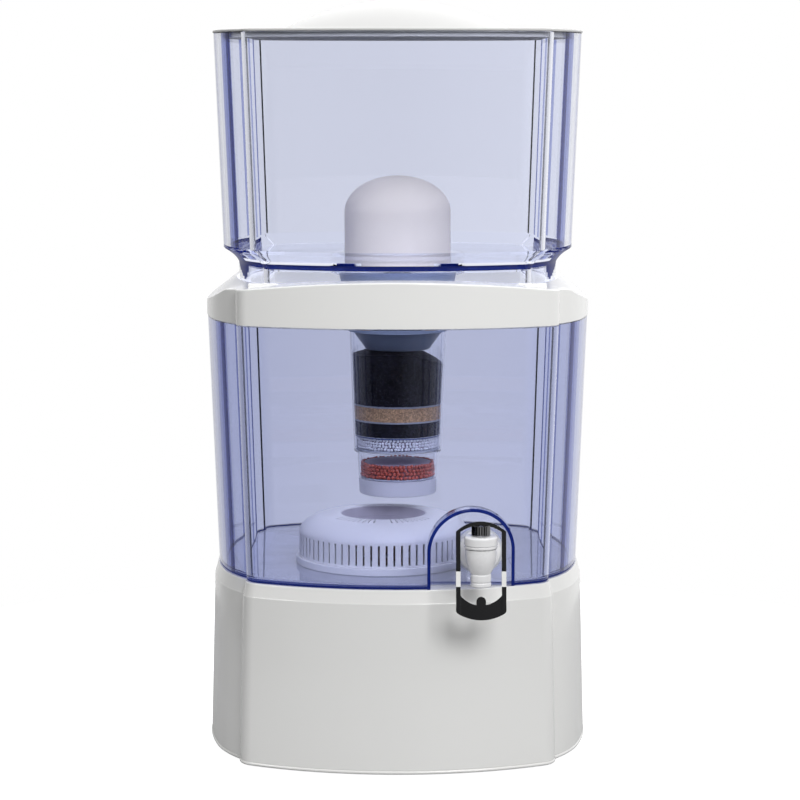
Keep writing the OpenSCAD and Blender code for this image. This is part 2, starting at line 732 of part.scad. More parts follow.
module mineral_case_top() color("#d9dce6") at_case() difference() {
    rotate_extrude() difference() {
        polygon(concat([[0, case_flange_h], [case_r, case_flange_h]], shoulder_line(case_r, case_h),
            [[dish_r, case_h], [dish_r - 5, case_h - dish_h], [0, case_h - dish_h]]));
        translate([0, -hair]) polygon(concat([[0, case_flange_h], [case_r - case_wall, case_flange_h]],
            shoulder_line(case_r - case_wall, case_h - case_wall),
            [[dish_r + 1, case_h - case_wall], [dish_r - 6, case_h - dish_h - case_wall],
             [0, case_h - dish_h - case_wall]]));
    }
    for (i = [0 : slot_count - 1]) rotate(360 * i / slot_count)
        translate([case_r - case_wall - 1, -slot_w / 2, case_flange_h + 1.8])
            cube([case_wall + 3, slot_w, case_side_h - 2.6]);
    for (s = [-1, 1], i = [0 : 8]) rotate(-90 + s * (9 + i * 5.5))
        translate([dish_r + 1, -0.7, case_h - 5]) cube([short_slot, 1.4, 8]);
}

// One stone in the middle and three rows around it, the outermost clear of the slotted wall
stone_row = (case_r - case_wall - stone_r - 2 * case_shelf) / 3;
module mineral_stones() color("#b98f6a") at_case() {
    for (row = [0 : 3], i = [0 : max(0, 6 * row - 1)])
        rotate(10 * row + (row > 0 ? 60 * i / row : 0))
            translate([stone_row * row, 0, case_wall + stone_r + hair]) sphere(r = stone_r, $fn = 32);
}

// ---- Tap ----------------------------------------------------------------------------------

neck_r = 11;
neck_h = 6.8;
cavity_r = 9.2;
nozzle_z = bulb_z - nozzle_h;
function bulb_line(n) = [for (i = [0 : n]) let (t = i / n)
    [nozzle_r - 0.6 + (bulb_r - nozzle_r + 0.6) * pow(sin(90 * min(1, t * 1.25)), 0.85), bulb_z + bulb_h * t]];

module tap_body() color("#e9e9ec") at_tap() difference() {
    union() {
        rotate_extrude() polygon(concat([[0, bulb_z]], bulb_line(12),
            [[neck_r, bulb_z + bulb_h], [neck_r, bulb_z + bulb_h + neck_h], [0, bulb_z + bulb_h + neck_h]]));
        translate([0, 0, shank_z]) rotate([-90, 0, 0]) {
            cylinder(r = shank_r, h = tap_reach + tank_wall + washer_t + nut_t + 4);
            translate([0, 0, tap_reach - washer_t - flange_t]) cylinder(r = flange_r, h = flange_t);
        }
    }
    translate([0, 0, bulb_z + valve_floor]) cylinder(r = cavity_r, h = bulb_h + neck_h);
    translate([0, 0, bulb_z - 1]) cylinder(r = spout_r, h = valve_floor + 2);
    translate([0, 0, shank_z]) rotate([-90, 0, 0]) cylinder(r = shank_bore_r, h = tap_reach + 40);
}

module tap_nozzle() color("#f0f0f2") at_tap() rotate_extrude() difference() {
    polygon([[spout_r, bulb_z], [nozzle_r - 0.6, bulb_z], [nozzle_r, bulb_z - 0.8],
             [nozzle_r, nozzle_z + 4.4], [nozzle_r - 0.6, nozzle_z + 3.8], [nozzle_r - 0.6, nozzle_z + 3.2],
             [nozzle_r, nozzle_z + 2.6], [nozzle_r, nozzle_z + 0.6], [nozzle_r - 0.6, nozzle_z],
             [spout_r, nozzle_z]]);
}

module tap_bonnet() color("#eeeef0") at_tap() rotate_extrude() difference() {
    polygon([[0, bonnet_z], [bonnet_r - 0.9, bonnet_z], [bonnet_r - 0.3, bonnet_z + 0.5],
             [bonnet_r - 0.3, bonnet_z + 1.6], [bonnet_r - 0.9, bonnet_z + 2.1], [bonnet_r, bonnet_z + 2.8],
             [bonnet_r, bonnet_top_z - 2.6], [bonnet_r - 1.8, bonnet_top_z], [0, bonnet_top_z]]);
    translate([0, bonnet_z - 1]) square([neck_r + run_fit, neck_h + 0.5]);
    square([rod_r + run_fit, bonnet_top_z + 1]);
}

// Washer and nut around the shank, with y0 and y1 measured from the niche's back
module around_shank(y0, y1) {
    translate([0, tap_reach + y0, shank_z]) rotate([-90, 0, 0]) linear_extrude(height = y1 - y0) children();
}
module tap_outer_washer() color("#dfe1e8") at_tap() around_shank(-washer_t, 0) difference() {
    circle(r = washer_r);
    circle(r = shank_r + run_fit);
}
module tap_inner_washer() color("#dfe1e8") at_tap() around_shank(tank_wall, tank_wall + washer_t)
    difference() {
        circle(r = washer_r);
        circle(r = shank_r + run_fit);
    }
module tap_nut() color("#d4d7e0") at_tap()
    around_shank(tank_wall + washer_t, tank_wall + washer_t + nut_t) difference() {
        circle(r = nut_r);
        circle(r = shank_r + run_fit);
        for (i = [0 : 15]) rotate(22.5 * i) translate([nut_r + 0.6, 0]) circle(r = 2, $fn = 24);
    }

module valve_rod() color("#b9bcc4") at_tap() difference() {
    translate([0, 0, seat_z + seat_h]) cylinder(r = rod_r, h = pin_z + rod_top - seat_z - seat_h);
    translate([0, 0, pin_z]) rotate([0, 90, 0]) cylinder(r = pin_r + run_fit, h = 4 * rod_r, center = true);
}
module valve_seat() color("#e4e2da") at_tap() translate([0, 0, seat_z]) {
    cylinder(r = cavity_r - 1.4, h = seat_lip);
    translate([0, 0, seat_lip - hair])
        cylinder(r1 = cavity_r - 2.4, r2 = coil_r + 2 * wire_r, h = seat_h - seat_lip + hair);
}

// Spring: round wire swept along a helix between the seat and the bonnet
wire_r = 0.45;
coil_r = rod_r + 2;
coil_turns = 6;
coil_steps = 14;
wire_sides = 6;
spring_z0 = seat_z + seat_h + wire_r;
spring_z1 = bonnet_z + neck_h - 0.5 - wire_r;
module valve_spring() color("#a9adb5") at_tap() {
    n = coil_turns * coil_steps;
    pts = [for (i = [0 : n], k = [0 : wire_sides - 1])
        let (a = 360 * i / coil_steps, b = 360 * k / wire_sides, r = coil_r + wire_r * cos(b))
        [r * cos(a), r * sin(a), spring_z0 + (spring_z1 - spring_z0) * i / n + wire_r * sin(b)]];
    sides = [for (i = [0 : n - 1], k = [0 : wire_sides - 1]) let (m = (k + 1) % wire_sides)
        [i * wire_sides + k, i * wire_sides + m, (i + 1) * wire_sides + m, (i + 1) * wire_sides + k]];
    ends = [[for (k = [wire_sides - 1 : -1 : 0]) k], [for (k = [0 : wire_sides - 1]) n * wire_sides + k]];
    polyhedron(points = pts, faces = concat(sides, ends), convexity = 6);
}

// ---- Lever --------------------------------------------------------------------------------

// The lever is drawn hanging straight down from its pin, seen from the front, then tilted
frame_top = hub_z + hub_h - pin_z;
frame_drop = 8;
dip_r = (inner_half * inner_half + paddle_dip * paddle_dip) / (2 * paddle_dip);

// Dip in the paddle's upper edge, around the tongue left standing in its middle
module dip() {
    tongue_top = paddle_h - 1 - tongue_half;
    translate([0, -lever_l]) difference() {
        intersection() {
            translate([0, paddle_h - paddle_dip + dip_r]) circle(r = dip_r, $fn = 128);
            translate([-inner_half, 0]) square([2 * inner_half, paddle_h + hair]);
        }
        translate([-tongue_half, 0]) square([2 * tongue_half, tongue_top]);
        translate([0, tongue_top]) circle(r = tongue_half);
    }
}

// Outline of the frame and paddle, seen from the front
module frame_plan() {
    difference() {
        intersection() {
            translate([-lever_half, -lever_l]) square([2 * lever_half, lever_l + frame_top]);
            bowed_top(frame_top);
            translate([0, paddle_r - lever_l]) union() {
                circle(r = paddle_r, $fn = 128);
                translate([-lever_half, 0]) square([2 * lever_half, lever_l + frame_top]);
            }
        }
        intersection() {
            translate([-inner_half, -lever_l + paddle_h])
                square([2 * inner_half, lever_l - paddle_h + frame_top]);
            bowed_top(frame_top - arm_w * 0.9);
        }
        dip();
    }
}

// Half plane under a bowed line whose middle is at height z
module bowed_top(z) {
    bow = lever_half * lever_half / (2 * frame_drop) + frame_drop / 2;
    translate([0, z - bow]) {
        circle(r = bow, $fn = 128);
        translate([-bow, -2 * lever_l]) square([2 * bow, 2 * lever_l]);
    }
}

module tilted() {
    at_tap() translate([0, 0, pin_z]) rotate([-lever_tilt, 0, 0]) children();
}

module tap_lever() color("#8f9298") {
    difference() {
        union() {
            tilted() difference() {
                translate([0, arm_t / 2, 0]) rotate([90, 0, 0]) linear_extrude(height = arm_t) frame_plan();
                // the paddle is a thin plate set back between the arms
                for (y = [-arm_t / 2 + paddle_in - arm_t, -arm_t / 2 + paddle_in + paddle_t])
                    translate([-inner_half, y, -lever_l - 1])
                        cube([2 * inner_half, arm_t, paddle_h + 1 + hair]);
            }
            at_tap() translate([0, 0, hub_z]) cylinder(r = hub_r, h = hub_h);
        }
        at_tap() {
            translate([0, 0, hub_z - 1]) cylinder(r = hub_r - hub_wall, h = 1 + pin_h + rod_top + 1);
            translate([0, 0, pin_z]) rotate([0, 90, 0])
                cylinder(r = pin_r + run_fit / 2, h = 2 * hub_r + 1, center = true);
        }
    }
}

module lever_pin() color("#9a9da3") at_tap() translate([0, 0, pin_z]) rotate([0, 90, 0])
    cylinder(r = pin_r, h = 2 * hub_r - 0.6, center = true);

// ---- Nodes --------------------------------------------------------------------------------

base();
rubber_feet();
lower_tank();
collar();
upper_tank();
lid();
ceramic_dome();
dome_plate();
dome_gasket();
dome_lock_nut();
cartridge_cap();
cartridge_housing();
carbon_bed();
sand_bed();
fine_carbon_bed();
white_ball_bed();
red_ball_bed();
separator_pads();
cartridge_end_cup();
mineral_case_base();
mineral_case_top();
mineral_stones();
tap_body();
tap_nozzle();
tap_bonnet();
tap_outer_washer();
tap_inner_washer();
tap_nut();
valve_rod();
valve_seat();
valve_spring();
tap_lever();
lever_pin();
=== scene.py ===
# %% [markdown]
# # A gravity water filter, dressed around its CAD frame
#
# Water is poured into the upper tank, seeps through a ceramic dome, runs down through a cartridge
# of layers, and collects in the lower tank. A lever tap lets it out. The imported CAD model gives
# every place and size; this notebook adds smooth skins, grains, balls and finishes to it.

# %% The frame
import contextlib
import random
from math import acos, asin, copysign, cos, pi, radians, sin, sqrt

import bmesh
import bpy
from mathutils import Matrix, Vector


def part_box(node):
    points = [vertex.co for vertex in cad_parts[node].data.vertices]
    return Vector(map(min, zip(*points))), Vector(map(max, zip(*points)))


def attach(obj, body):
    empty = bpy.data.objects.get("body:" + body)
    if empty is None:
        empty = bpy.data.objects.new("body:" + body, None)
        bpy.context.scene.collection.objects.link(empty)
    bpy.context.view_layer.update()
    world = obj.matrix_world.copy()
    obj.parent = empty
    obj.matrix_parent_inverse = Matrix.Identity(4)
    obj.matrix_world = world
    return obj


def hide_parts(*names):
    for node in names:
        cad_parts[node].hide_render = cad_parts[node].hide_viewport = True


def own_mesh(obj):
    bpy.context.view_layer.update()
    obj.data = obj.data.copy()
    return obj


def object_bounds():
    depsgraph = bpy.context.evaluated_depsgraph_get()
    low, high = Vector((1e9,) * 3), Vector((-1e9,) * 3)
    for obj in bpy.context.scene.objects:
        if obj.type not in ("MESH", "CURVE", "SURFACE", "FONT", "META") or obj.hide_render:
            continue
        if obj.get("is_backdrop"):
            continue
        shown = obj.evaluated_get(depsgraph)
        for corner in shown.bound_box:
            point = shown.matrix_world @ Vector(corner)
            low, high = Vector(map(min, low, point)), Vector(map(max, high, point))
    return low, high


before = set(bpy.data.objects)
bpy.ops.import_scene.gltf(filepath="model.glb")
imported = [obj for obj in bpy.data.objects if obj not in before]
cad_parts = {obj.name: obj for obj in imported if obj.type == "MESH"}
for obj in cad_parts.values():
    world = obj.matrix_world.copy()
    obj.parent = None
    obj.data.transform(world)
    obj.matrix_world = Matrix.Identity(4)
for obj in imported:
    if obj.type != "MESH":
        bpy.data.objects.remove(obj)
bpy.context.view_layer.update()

print("nodes in the frame:", len(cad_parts))

# %% [markdown]
# ## Where things are
#
# The body of the filter stands a little behind the origin, because the tap sticks out in front.
# Everything below is drawn about the body's own upright axis.

# %% The body's axis
base_low, base_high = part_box("base")
BODY_Y = (base_low.y + base_high.y) / 2
AXIS = Vector((0, BODY_Y, 0))
MM = 0.001


def mm(x, y, z):
    """A place given in millimetres."""
    return Vector((x, y, z)) * MM


print("the body's axis is at y =", round(BODY_Y, 5))

# %% [markdown]
# ## Camera
#
# A long lens a good two metres away, a little above the collar and looking slightly down. It keeps
# the tall sides nearly parallel.

# %% Camera
CAMERA_BACK = 2.157
CAMERA_HEIGHT = 0.5606
CAMERA_PITCH = radians(7.3)
camera_data = bpy.data.cameras.new("camera")
camera_data.lens = 115
camera_data.sensor_width = 36
camera = bpy.data.objects.new("camera", camera_data)
camera.location = (0.002, BODY_Y - CAMERA_BACK, CAMERA_HEIGHT)
camera.rotation_euler = (pi / 2 - CAMERA_PITCH, 0, 0)
bpy.context.scene.collection.objects.link(camera)
bpy.context.scene.camera = camera

# %% [markdown]
# ## Helpers for modelling
#
# Each new piece starts from an empty selection. A finished one is given to the body it moves with
# and to the CAD nodes it stands for.

# %% Selection and hand-over
def start():
    """Object mode with nothing selected."""
    if bpy.context.object and bpy.context.object.mode != "OBJECT":
        bpy.ops.object.mode_set(mode="OBJECT")
    bpy.ops.object.select_all(action="DESELECT")


def only(piece):
    """Selects one piece and makes it active."""
    start()
    piece.select_set(True)
    bpy.context.view_layer.objects.active = piece
    return piece


def named(name):
    """Names the object just made."""
    piece = bpy.context.object
    piece.name = piece.data.name = name
    return piece


def settle(piece):
    """Writes the piece's place into its mesh and leaves its object at the origin."""
    only(piece)
    bpy.ops.object.transform_apply(location=True, rotation=True, scale=True)
    return piece


@contextlib.contextmanager
def edit():
    """Edit mode on the active piece with all of it selected, then object mode again."""
    bpy.ops.object.mode_set(mode="EDIT")
    bpy.ops.mesh.select_all(action="SELECT")
    yield
    bpy.ops.object.mode_set(mode="OBJECT")


def outward(piece, merge=1e-6):
    """Merges doubles and turns every face outwards."""
    only(piece)
    with edit():
        bpy.ops.mesh.remove_doubles(threshold=merge)
        bpy.ops.mesh.dissolve_degenerate(threshold=merge)
        bpy.ops.mesh.normals_make_consistent(inside=False)
    return piece


def close_holes():
    """Fills every hole of the piece in edit mode."""
    bpy.ops.mesh.select_all(action="DESELECT")
    bpy.ops.mesh.select_non_manifold(extend=False)
    bpy.ops.mesh.fill_holes(sides=0)


def apply(piece, kind, **settings):
    """Adds one modifier and applies it."""
    only(piece)
    modifier = piece.modifiers.new(kind.lower(), kind)
    for key, value in settings.items():
        setattr(modifier, key, value)
    bpy.ops.object.modifier_apply(modifier=modifier.name)
    return piece


def smooth(piece, degrees=30):
    """Smooth shading below an angle. Wide faces keep their own direction, so panes don't distort."""
    only(piece)
    bpy.ops.object.shade_smooth_by_angle(angle=radians(degrees))
    return apply(piece, "WEIGHTED_NORMAL", weight=90, keep_sharp=True)


def soften(piece, width, segments=2, degrees=40):
    """Rounds the piece's sharp edges."""
    return apply(piece, "BEVEL", width=width, segments=segments, limit_method="ANGLE",
                 angle_limit=radians(degrees), use_clamp_overlap=True)


def carve(piece, tool, operation="DIFFERENCE"):
    """Cuts, joins or intersects the piece with a tool, which is then thrown away."""
    apply(piece, "BOOLEAN", object=tool, operation=operation, solver="EXACT", material_mode="TRANSFER")
    bpy.data.objects.remove(tool)
    return piece


def join(name, parts):
    """Makes one piece of several."""
    start()
    for part in parts:
        part.select_set(True)
    bpy.context.view_layer.objects.active = parts[0]
    bpy.ops.object.join()
    return named(name)


def hand_over(piece, body, slot, *nodes):
    """The piece rides on a body and stands for the CAD nodes named. Its slot is not used."""
    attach(piece, body)
    if nodes:
        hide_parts(*nodes)
    print(piece.name, "has", len(piece.data.vertices), "points")


def dress(piece, paint, degrees, body, slot, *nodes):
    """Smooths a piece, puts one paint on it and hands it over."""
    paint.on(smooth(piece, degrees))
    hand_over(piece, body, slot, *nodes)


# %% [markdown]
# ## The plan of the body
#
# Seen from above the filter is a square with four bowed faces. The front and the back end in a
# rounded corner that turns a little further than a right angle, and the side faces run out to it
# over a soft shoulder, so a crease runs down the whole body beside each corner. Tank, collar, lid
# and base all share this outline, each at its own size, so it is worked out once, with a half
# width of one.

# %% The plan outline
HALF = 160.5
FACE_R, FRONT_HALF, CORNER_R, CREASE = 273, 120, 17.5, radians(12)
SIDE_HALF, SHOULDER = 69, 25


def bowed(d):
    """Distance of the bowed face from the axis at d from its middle."""
    return sqrt(FACE_R ** 2 - d ** 2) - (FACE_R - HALF)


def bend(first, pull, last, steps):
    """Points of a soft bend in a profile."""
    turns = [i / steps for i in range(steps + 1)]
    return [(1 - t) ** 2 * Vector(first) + 2 * t * (1 - t) * Vector(pull) + t * t * Vector(last)
            for t in turns]


def quarter_plan(side=22, shoulder=12, corner=14, front=36):
    """One quarter of the outline, from the middle of the side to the middle of the front.

    The arguments are the number of steps along each of its four stretches.
    """
    turn = acos(FRONT_HALF / FACE_R)
    centre = Vector((FRONT_HALF, bowed(FRONT_HALF))) - CORNER_R * Vector((cos(turn), sin(turn)))
    crease = centre + CORNER_R * Vector((cos(-CREASE), sin(-CREASE)))
    lean = asin(SIDE_HALF / FACE_R)
    end = Vector((bowed(SIDE_HALF), SIDE_HALF))
    pull = end + SHOULDER * Vector((-sin(lean), cos(lean)))
    points = [Vector((bowed(SIDE_HALF * i / side), SIDE_HALF * i / side)) for i in range(side)]
    points += bend(end, pull, crease, shoulder)
    for i in range(1, corner + 1):
        a = -CREASE + (turn + CREASE) * i / corner
        points.append(centre + CORNER_R * Vector((cos(a), sin(a))))
    for i in range(1, front + 1):
        x = FRONT_HALF * (1 - i / front)
        points.append(Vector((x, bowed(x))))
    return points


quarter = quarter_plan()
PLAN = [p / HALF for p in (
    quarter
    + [Vector((-p.x, p.y)) for p in quarter[-2::-1]]
    + [Vector((-p.x, -p.y)) for p in quarter[1:]]
    + [Vector((p.x, -p.y)) for p in quarter[-2:0:-1]])]
print("points around the plan:", len(PLAN))

# %% [markdown]
# ## Skins through rings
#
# A moulded tank is a stack of such outlines. A circle is added, its points are put on the first
# ring, and its edges are extruded from ring to ring. Each point remembers its station around the
# plan, because an extruded point inherits it.

# %% Lofting
def plan(half, z):
    """Ring of the plan at a half width and a height, in millimetres."""
    return lambda i: mm(PLAN[i].x * half, PLAN[i].y * half, z) + AXIS


def disc(radius, z):
    """Round ring with the plan's stations."""
    return lambda i: Vector((*(PLAN[i].normalized() * radius), z)) * MM + AXIS


def put(piece, ring):
    """Moves the selected points to where the ring has their stations."""
    mesh = bmesh.from_edit_mesh(piece.data)
    station = mesh.verts.layers.int["station"]
    for point in mesh.verts:
        if point.select:
            point.co = ring(point[station])
    bmesh.update_edit_mesh(piece.data)


def loft(name, rings, closed=False):
    """A skin through the rings. A closed one comes back to its first ring, others get flat ends."""
    start()
    bpy.ops.mesh.primitive_circle_add(vertices=len(PLAN))
    piece = named(name)
    station = piece.data.attributes.new("station", "INT", "POINT")
    station.data.foreach_set("value", range(len(PLAN)))
    with edit():
        put(piece, rings[0])
        for ring in rings[1:] + rings[:1] * closed:
            bpy.ops.mesh.extrude_edges_indiv()
            put(piece, ring)
        if not closed:
            close_holes()
    piece.data.attributes.remove(piece.data.attributes["station"])
    return outward(piece)


def outside(at, normal):
    """Is this face on the outer skin?"""
    return Vector((at.x, at.y)).dot(Vector((normal.x, normal.y))) > 0


def arc(cx, cz, r, first, last, steps):
    """Points of an arc in a profile, in millimetres and degrees."""
    turns = [radians(first + (last - first) * i / steps) for i in range(steps + 1)]
    return [(cx + r * cos(a), cz + r * sin(a)) for a in turns]


def plans(*points):
    """Rings of the plan through the points of a profile."""
    return [plan(*point) for point in points]


# %% [markdown]
# ## Turned pieces
#
# Dome, cartridge, case and tap are round. Their half profile is drawn as a ring of points, and
# Spin carries it round the upright axis, as a lathe would. The same Spin, set to leave copies,
# deals out slots, holes and balls around that axis, all in one mesh.

# %% Turning
def turned(name, profile, at=AXIS, steps=96, edge=0.0):
    """Spins a closed half profile of (radius, height) in millimetres round the axis at a place."""
    start()
    bpy.ops.mesh.primitive_circle_add(vertices=len(profile))
    piece = named(name)
    for point, (r, z) in zip(piece.data.vertices, profile):
        point.co = mm(r, 0, z) + at
    with edit():
        bpy.ops.mesh.spin(steps=steps, angle=2 * pi, center=at, axis=(0, 0, 1), dupli=False)
    outward(piece, 2e-6)
    if edge:
        soften(piece, edge * MM)
    return piece


def rod(name, r, low, high, at=AXIS, steps=64, edge=0.0):
    """Upright round bar between two heights."""
    return turned(name, [(0, low), (r, low), (r, high), (0, high)], at, steps, edge)


def dealt(piece, count, at=AXIS):
    """Leaves copies of the piece round the upright axis, evenly spaced, all in one mesh."""
    only(piece)
    with edit():
        bpy.ops.mesh.spin(steps=count - 1, angle=2 * pi * (count - 1) / count, center=at,
                          axis=(0, 0, 1), dupli=True)
    return piece


def block(name, low, high, at=AXIS, turn=0.0):
    """Box between two corners in millimetres, turned round the upright axis of a place."""
    start()
    low, high = Vector(low), Vector(high)
    bpy.ops.mesh.primitive_cube_add(size=1, location=(low + high) / 2 * MM, scale=(high - low) * MM)
    piece = settle(named(name))
    piece.rotation_euler.z = turn
    piece.location = at
    return settle(piece)


def prism(name, outline, move):
    """Fills an outline of points and extrudes it by a move, all in metres."""
    start()
    bpy.ops.mesh.primitive_circle_add(vertices=len(outline), fill_type="NGON")
    piece = named(name)
    for point, place in zip(piece.data.vertices, outline):
        point.co = place
    with edit():
        bpy.ops.mesh.remove_doubles(threshold=1e-6)
        bpy.ops.mesh.extrude_region_move(TRANSFORM_OT_translate={"value": move})
    return outward(piece)


def circle(count):
    """Angles around a circle."""
    return [2 * pi * i / count for i in range(count)]


# %% [markdown]
# ## Shader maths
#
# A wire stands for one output of a node, and adding or multiplying wires adds Math nodes. One
# method makes any other node.

# %% Wires and paints
class Wire:
    """One node output that can be used in arithmetic."""

    def __init__(self, paint, socket):
        self.paint, self.socket = paint, socket

    def maths(self, operation, first, second):
        return self.paint.node("Math", {"operation": operation}, {0: first, 1: second})

    def __add__(self, other): return self.maths("ADD", self, other)
    def __radd__(self, other): return self.maths("ADD", other, self)
    def __sub__(self, other): return self.maths("SUBTRACT", self, other)
    def __rsub__(self, other): return self.maths("SUBTRACT", other, self)
    def __mul__(self, other): return self.maths("MULTIPLY", self, other)
    def __rmul__(self, other): return self.maths("MULTIPLY", other, self)


class Network:
    """Nodes of a material or of the world."""

    def __init__(self, tree):
        self.tree = tree

    def plug(self, socket, value):
        if isinstance(value, Wire):
            self.tree.links.new(value.socket, socket)
        else:
            socket.default_value = value

    def node(self, kind, settings=None, sockets=None, out=0):
        made = self.tree.nodes.new("ShaderNode" + kind)
        for key, value in (settings or {}).items():
            if key == "stops":
                stops = made.color_ramp.elements
                while len(stops) < len(value):
                    stops.new(0.5)
                for stop, (place, colour) in zip(stops, value):
                    stop.position, stop.color = place, (*colour, 1)
            else:
                setattr(made, key, value)
        for key, value in (sockets or {}).items():
            self.plug(made.inputs[key], value)
        return Wire(self, made.outputs[out])

    def ramp(self, factor, *stops):
        """Colour that runs through stops of (place, colour) with the factor."""
        return self.node("ValToRGB", {"stops": stops}, {"Fac": factor})


class Paint(Network):
    """A material under construction.

    Gloss is (lowest roughness, spread, scale, detail) and wave is (scale, detail, distance,
    strength) of a bump, both after a noise. Mottle is (scale, detail, colour, colour).
    """

    def __init__(self, name, gloss=None, wave=None, mottle=None, **sockets):
        self.material = bpy.data.materials.new(name)
        self.material.use_nodes = True
        super().__init__(self.material.node_tree)
        self.skin = self.tree.nodes["Principled BSDF"]
        self.set(**sockets)
        if gloss:
            self.set(roughness=gloss[0] + gloss[1] * self.noise(*gloss[2:]))
        if wave:
            self.set(normal=self.bump(self.noise(*wave[:2]), *wave[2:]))
        if mottle:
            self.set(base_color=self.tint(self.noise(*mottle[:2]), *mottle[2:]))

    def set(self, **sockets):
        """Sets the skin's sockets: base_color=..., roughness=... and so on."""
        for key, value in sockets.items():
            title = key.replace("_", " ").title().replace("Ior", "IOR")
            if isinstance(value, tuple) and len(value) == 3:
                value = (*value, 1)
            self.plug(self.skin.inputs[title], value)

    def place(self):
        """Object coordinates."""
        return self.node("TexCoord", out="Object")

    def noise(self, scale, detail):
        return self.node("TexNoise", None, {"Vector": self.place(), "Scale": scale, "Detail": detail})

    def cells(self, scale, out=0):
        return self.node("TexVoronoi", None, {"Vector": self.place(), "Scale": scale}, out)

    def along(self, axis):
        """Place along one of the three axes in millimetres."""
        return 1000 * self.node("SeparateXYZ", None, {0: self.place()}, axis)

    def between(self, value, low, high):
        """One where the value lies between two limits, else zero."""
        return (value.maths("GREATER_THAN", value, low)) * (value.maths("LESS_THAN", value, high))

    def tint(self, factor, low, high):
        return self.ramp(factor, (0, low), (1, high))

    def choose(self, factor, low, high):
        """Colour or colour wire: low where the factor is zero, high where it is one."""
        low, high = (v if isinstance(v, Wire) else (*v, 1) for v in (low, high))
        return self.node("Mix", {"data_type": "RGBA"}, {0: factor, 6: low, 7: high}, 2)

    def bump(self, height, distance, strength=1.0):
        return self.node("Bump", None, {"Height": height, "Distance": distance, "Strength": strength})

    def volume(self, colour, density):
        """Absorption inside the piece, with one colour and one density."""
        inside = self.node("VolumeAbsorption", None, {"Color": (*colour, 1), "Density": density})
        self.plug(self.tree.nodes["Material Output"].inputs["Volume"], inside)

    def lets_lamps_through(self, colour=(0.97, 0.97, 0.97)):
        """Lamps light what is behind the glass, as they do through a real pane."""
        passing = self.node("BsdfTransparent", None, {"Color": (*colour, 1)})
        lamps = self.node("LightPath", out="Is Shadow Ray")
        both = self.node("MixShader", None, {0: lamps, 1: Wire(self, self.skin.outputs[0]), 2: passing})
        self.plug(self.tree.nodes["Material Output"].inputs["Surface"], both)

    def on(self, *pieces):
        """Puts the paint on pieces or CAD nodes."""
        for piece in pieces:
            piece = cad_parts[piece] if isinstance(piece, str) else piece
            piece.data.materials.clear()
            piece.data.materials.append(self.material)

    def on_faces(self, piece, wanted):
        """Puts the paint on those faces whose centre, in millimetres from the axis, is wanted."""
        slots = piece.data.materials
        if self.material.name not in slots:
            slots.append(self.material)
        index = slots.find(self.material.name)
        for face in piece.data.polygons:
            if wanted((face.center - AXIS) / MM, face.normal):
                face.material_index = index


# %% [markdown]
# ## White shell plastic
#
# Base, collar and lid are moulded in a warm white plastic with a polished face. Such a face is
# never perfectly even: the gloss varies a little from place to place, and a very shallow ripple
# shows where the wall cooled. The inner sides of base and collar carry a faint glow, painted light
# that stands in for light coming through the thin wall. The lid's white is darker and rougher, and
# its darker colour is painted shade.

# %% White shell plastic
def shell_paint(name, colour, roughness, coat=0.35):
    darker = tuple(0.985 * c for c in colour)
    return Paint(name, ior=1.5, specular_ior_level=0.2 + 0.85 * coat, coat_weight=coat,
                 coat_roughness=0.06, mottle=(9, 3, darker, colour),
                 gloss=(roughness, 0.02, 60, 2), wave=(8, 0, 0.0003, 0.04))


SHELL_WHITE = (0.80, 0.80, 0.785)
white_shell = shell_paint("white_shell_plastic", SHELL_WHITE, 0.24)
white_collar = shell_paint("white_collar_plastic", (0.90, 0.90, 0.885), 0.24)
# Painted light: the inner faces of collar and base glow by emission, standing in for light through the
# thin wall.
collar_painted_glow = shell_paint("white_collar_inside_painted_glow", SHELL_WHITE, 0.24)
collar_painted_glow.set(emission_color=(1, 1, 1), emission_strength=0.45)
base_painted_glow = shell_paint("white_shell_inside_painted_glow", SHELL_WHITE, 0.24)
base_painted_glow.set(emission_color=(1, 1, 1), emission_strength=0.10)
# Painted shade: the lid is a much darker copy of the shell white, holding back the light its upward
# faces catch.
shaded_white_lid = shell_paint("white_lid_shaded_plastic", (0.57, 0.57, 0.565), 0.45, 0.0)

# %% [markdown]
# ## Blue tinted plastic
#
# The tanks are clear plastic with a little blue dye. The lower tank has the dye in the depth of
# its wall, as volume absorption, so the long way through a rim or a floor looks deeper. The thin
# upper tank has it on its skins. Where the plastic is seen edge on or turns a corner, skins of
# deeper blue are painted shade: they stand for the dark lines that the long way inside the wall
# and the bending of light at the rounded corners make.

# %% Blue tinted plastic
def tank_paint(name, skin, colour=None, density=0):
    """Clear plastic with a tint on its skins, and an absorbing colour and density in its depth."""
    paint = Paint(name, base_color=skin, transmission_weight=1.0, ior=1.49, specular_ior_level=0.35,
                  roughness=0.012, wave=(11, 1, 0.0005, 0.08))
    if colour:
        paint.volume(colour, density)
    paint.lets_lamps_through(tuple(0.97 * sqrt(c) for c in skin))
    return paint


tank_lower_paint = tank_paint("blue_tint_lower_plastic", (1, 1, 1), (0.09, 0.19, 0.66), 84)
tank_upper_paint = tank_paint("blue_tint_upper_plastic", (0.86, 0.88, 0.967))


def skin_tint_and_shade(name, colour, clearness, ior=1.49):
    """One colour on the skin alone, with nothing mirrored in it: painted shade at edges and corners,
    and the tank's plain tint on the cove.
    """
    paint = Paint(name, base_color=colour, transmission_weight=clearness, ior=ior,
                  specular_ior_level=0.0, gloss=(0.03, 0.03, 80, 2))
    paint.lets_lamps_through(tuple(sqrt(c) for c in colour))
    return paint


painted_edge_shade = skin_tint_and_shade("blue_edge_painted_shade_plastic", (0.001, 0.004, 0.07), 0.3)
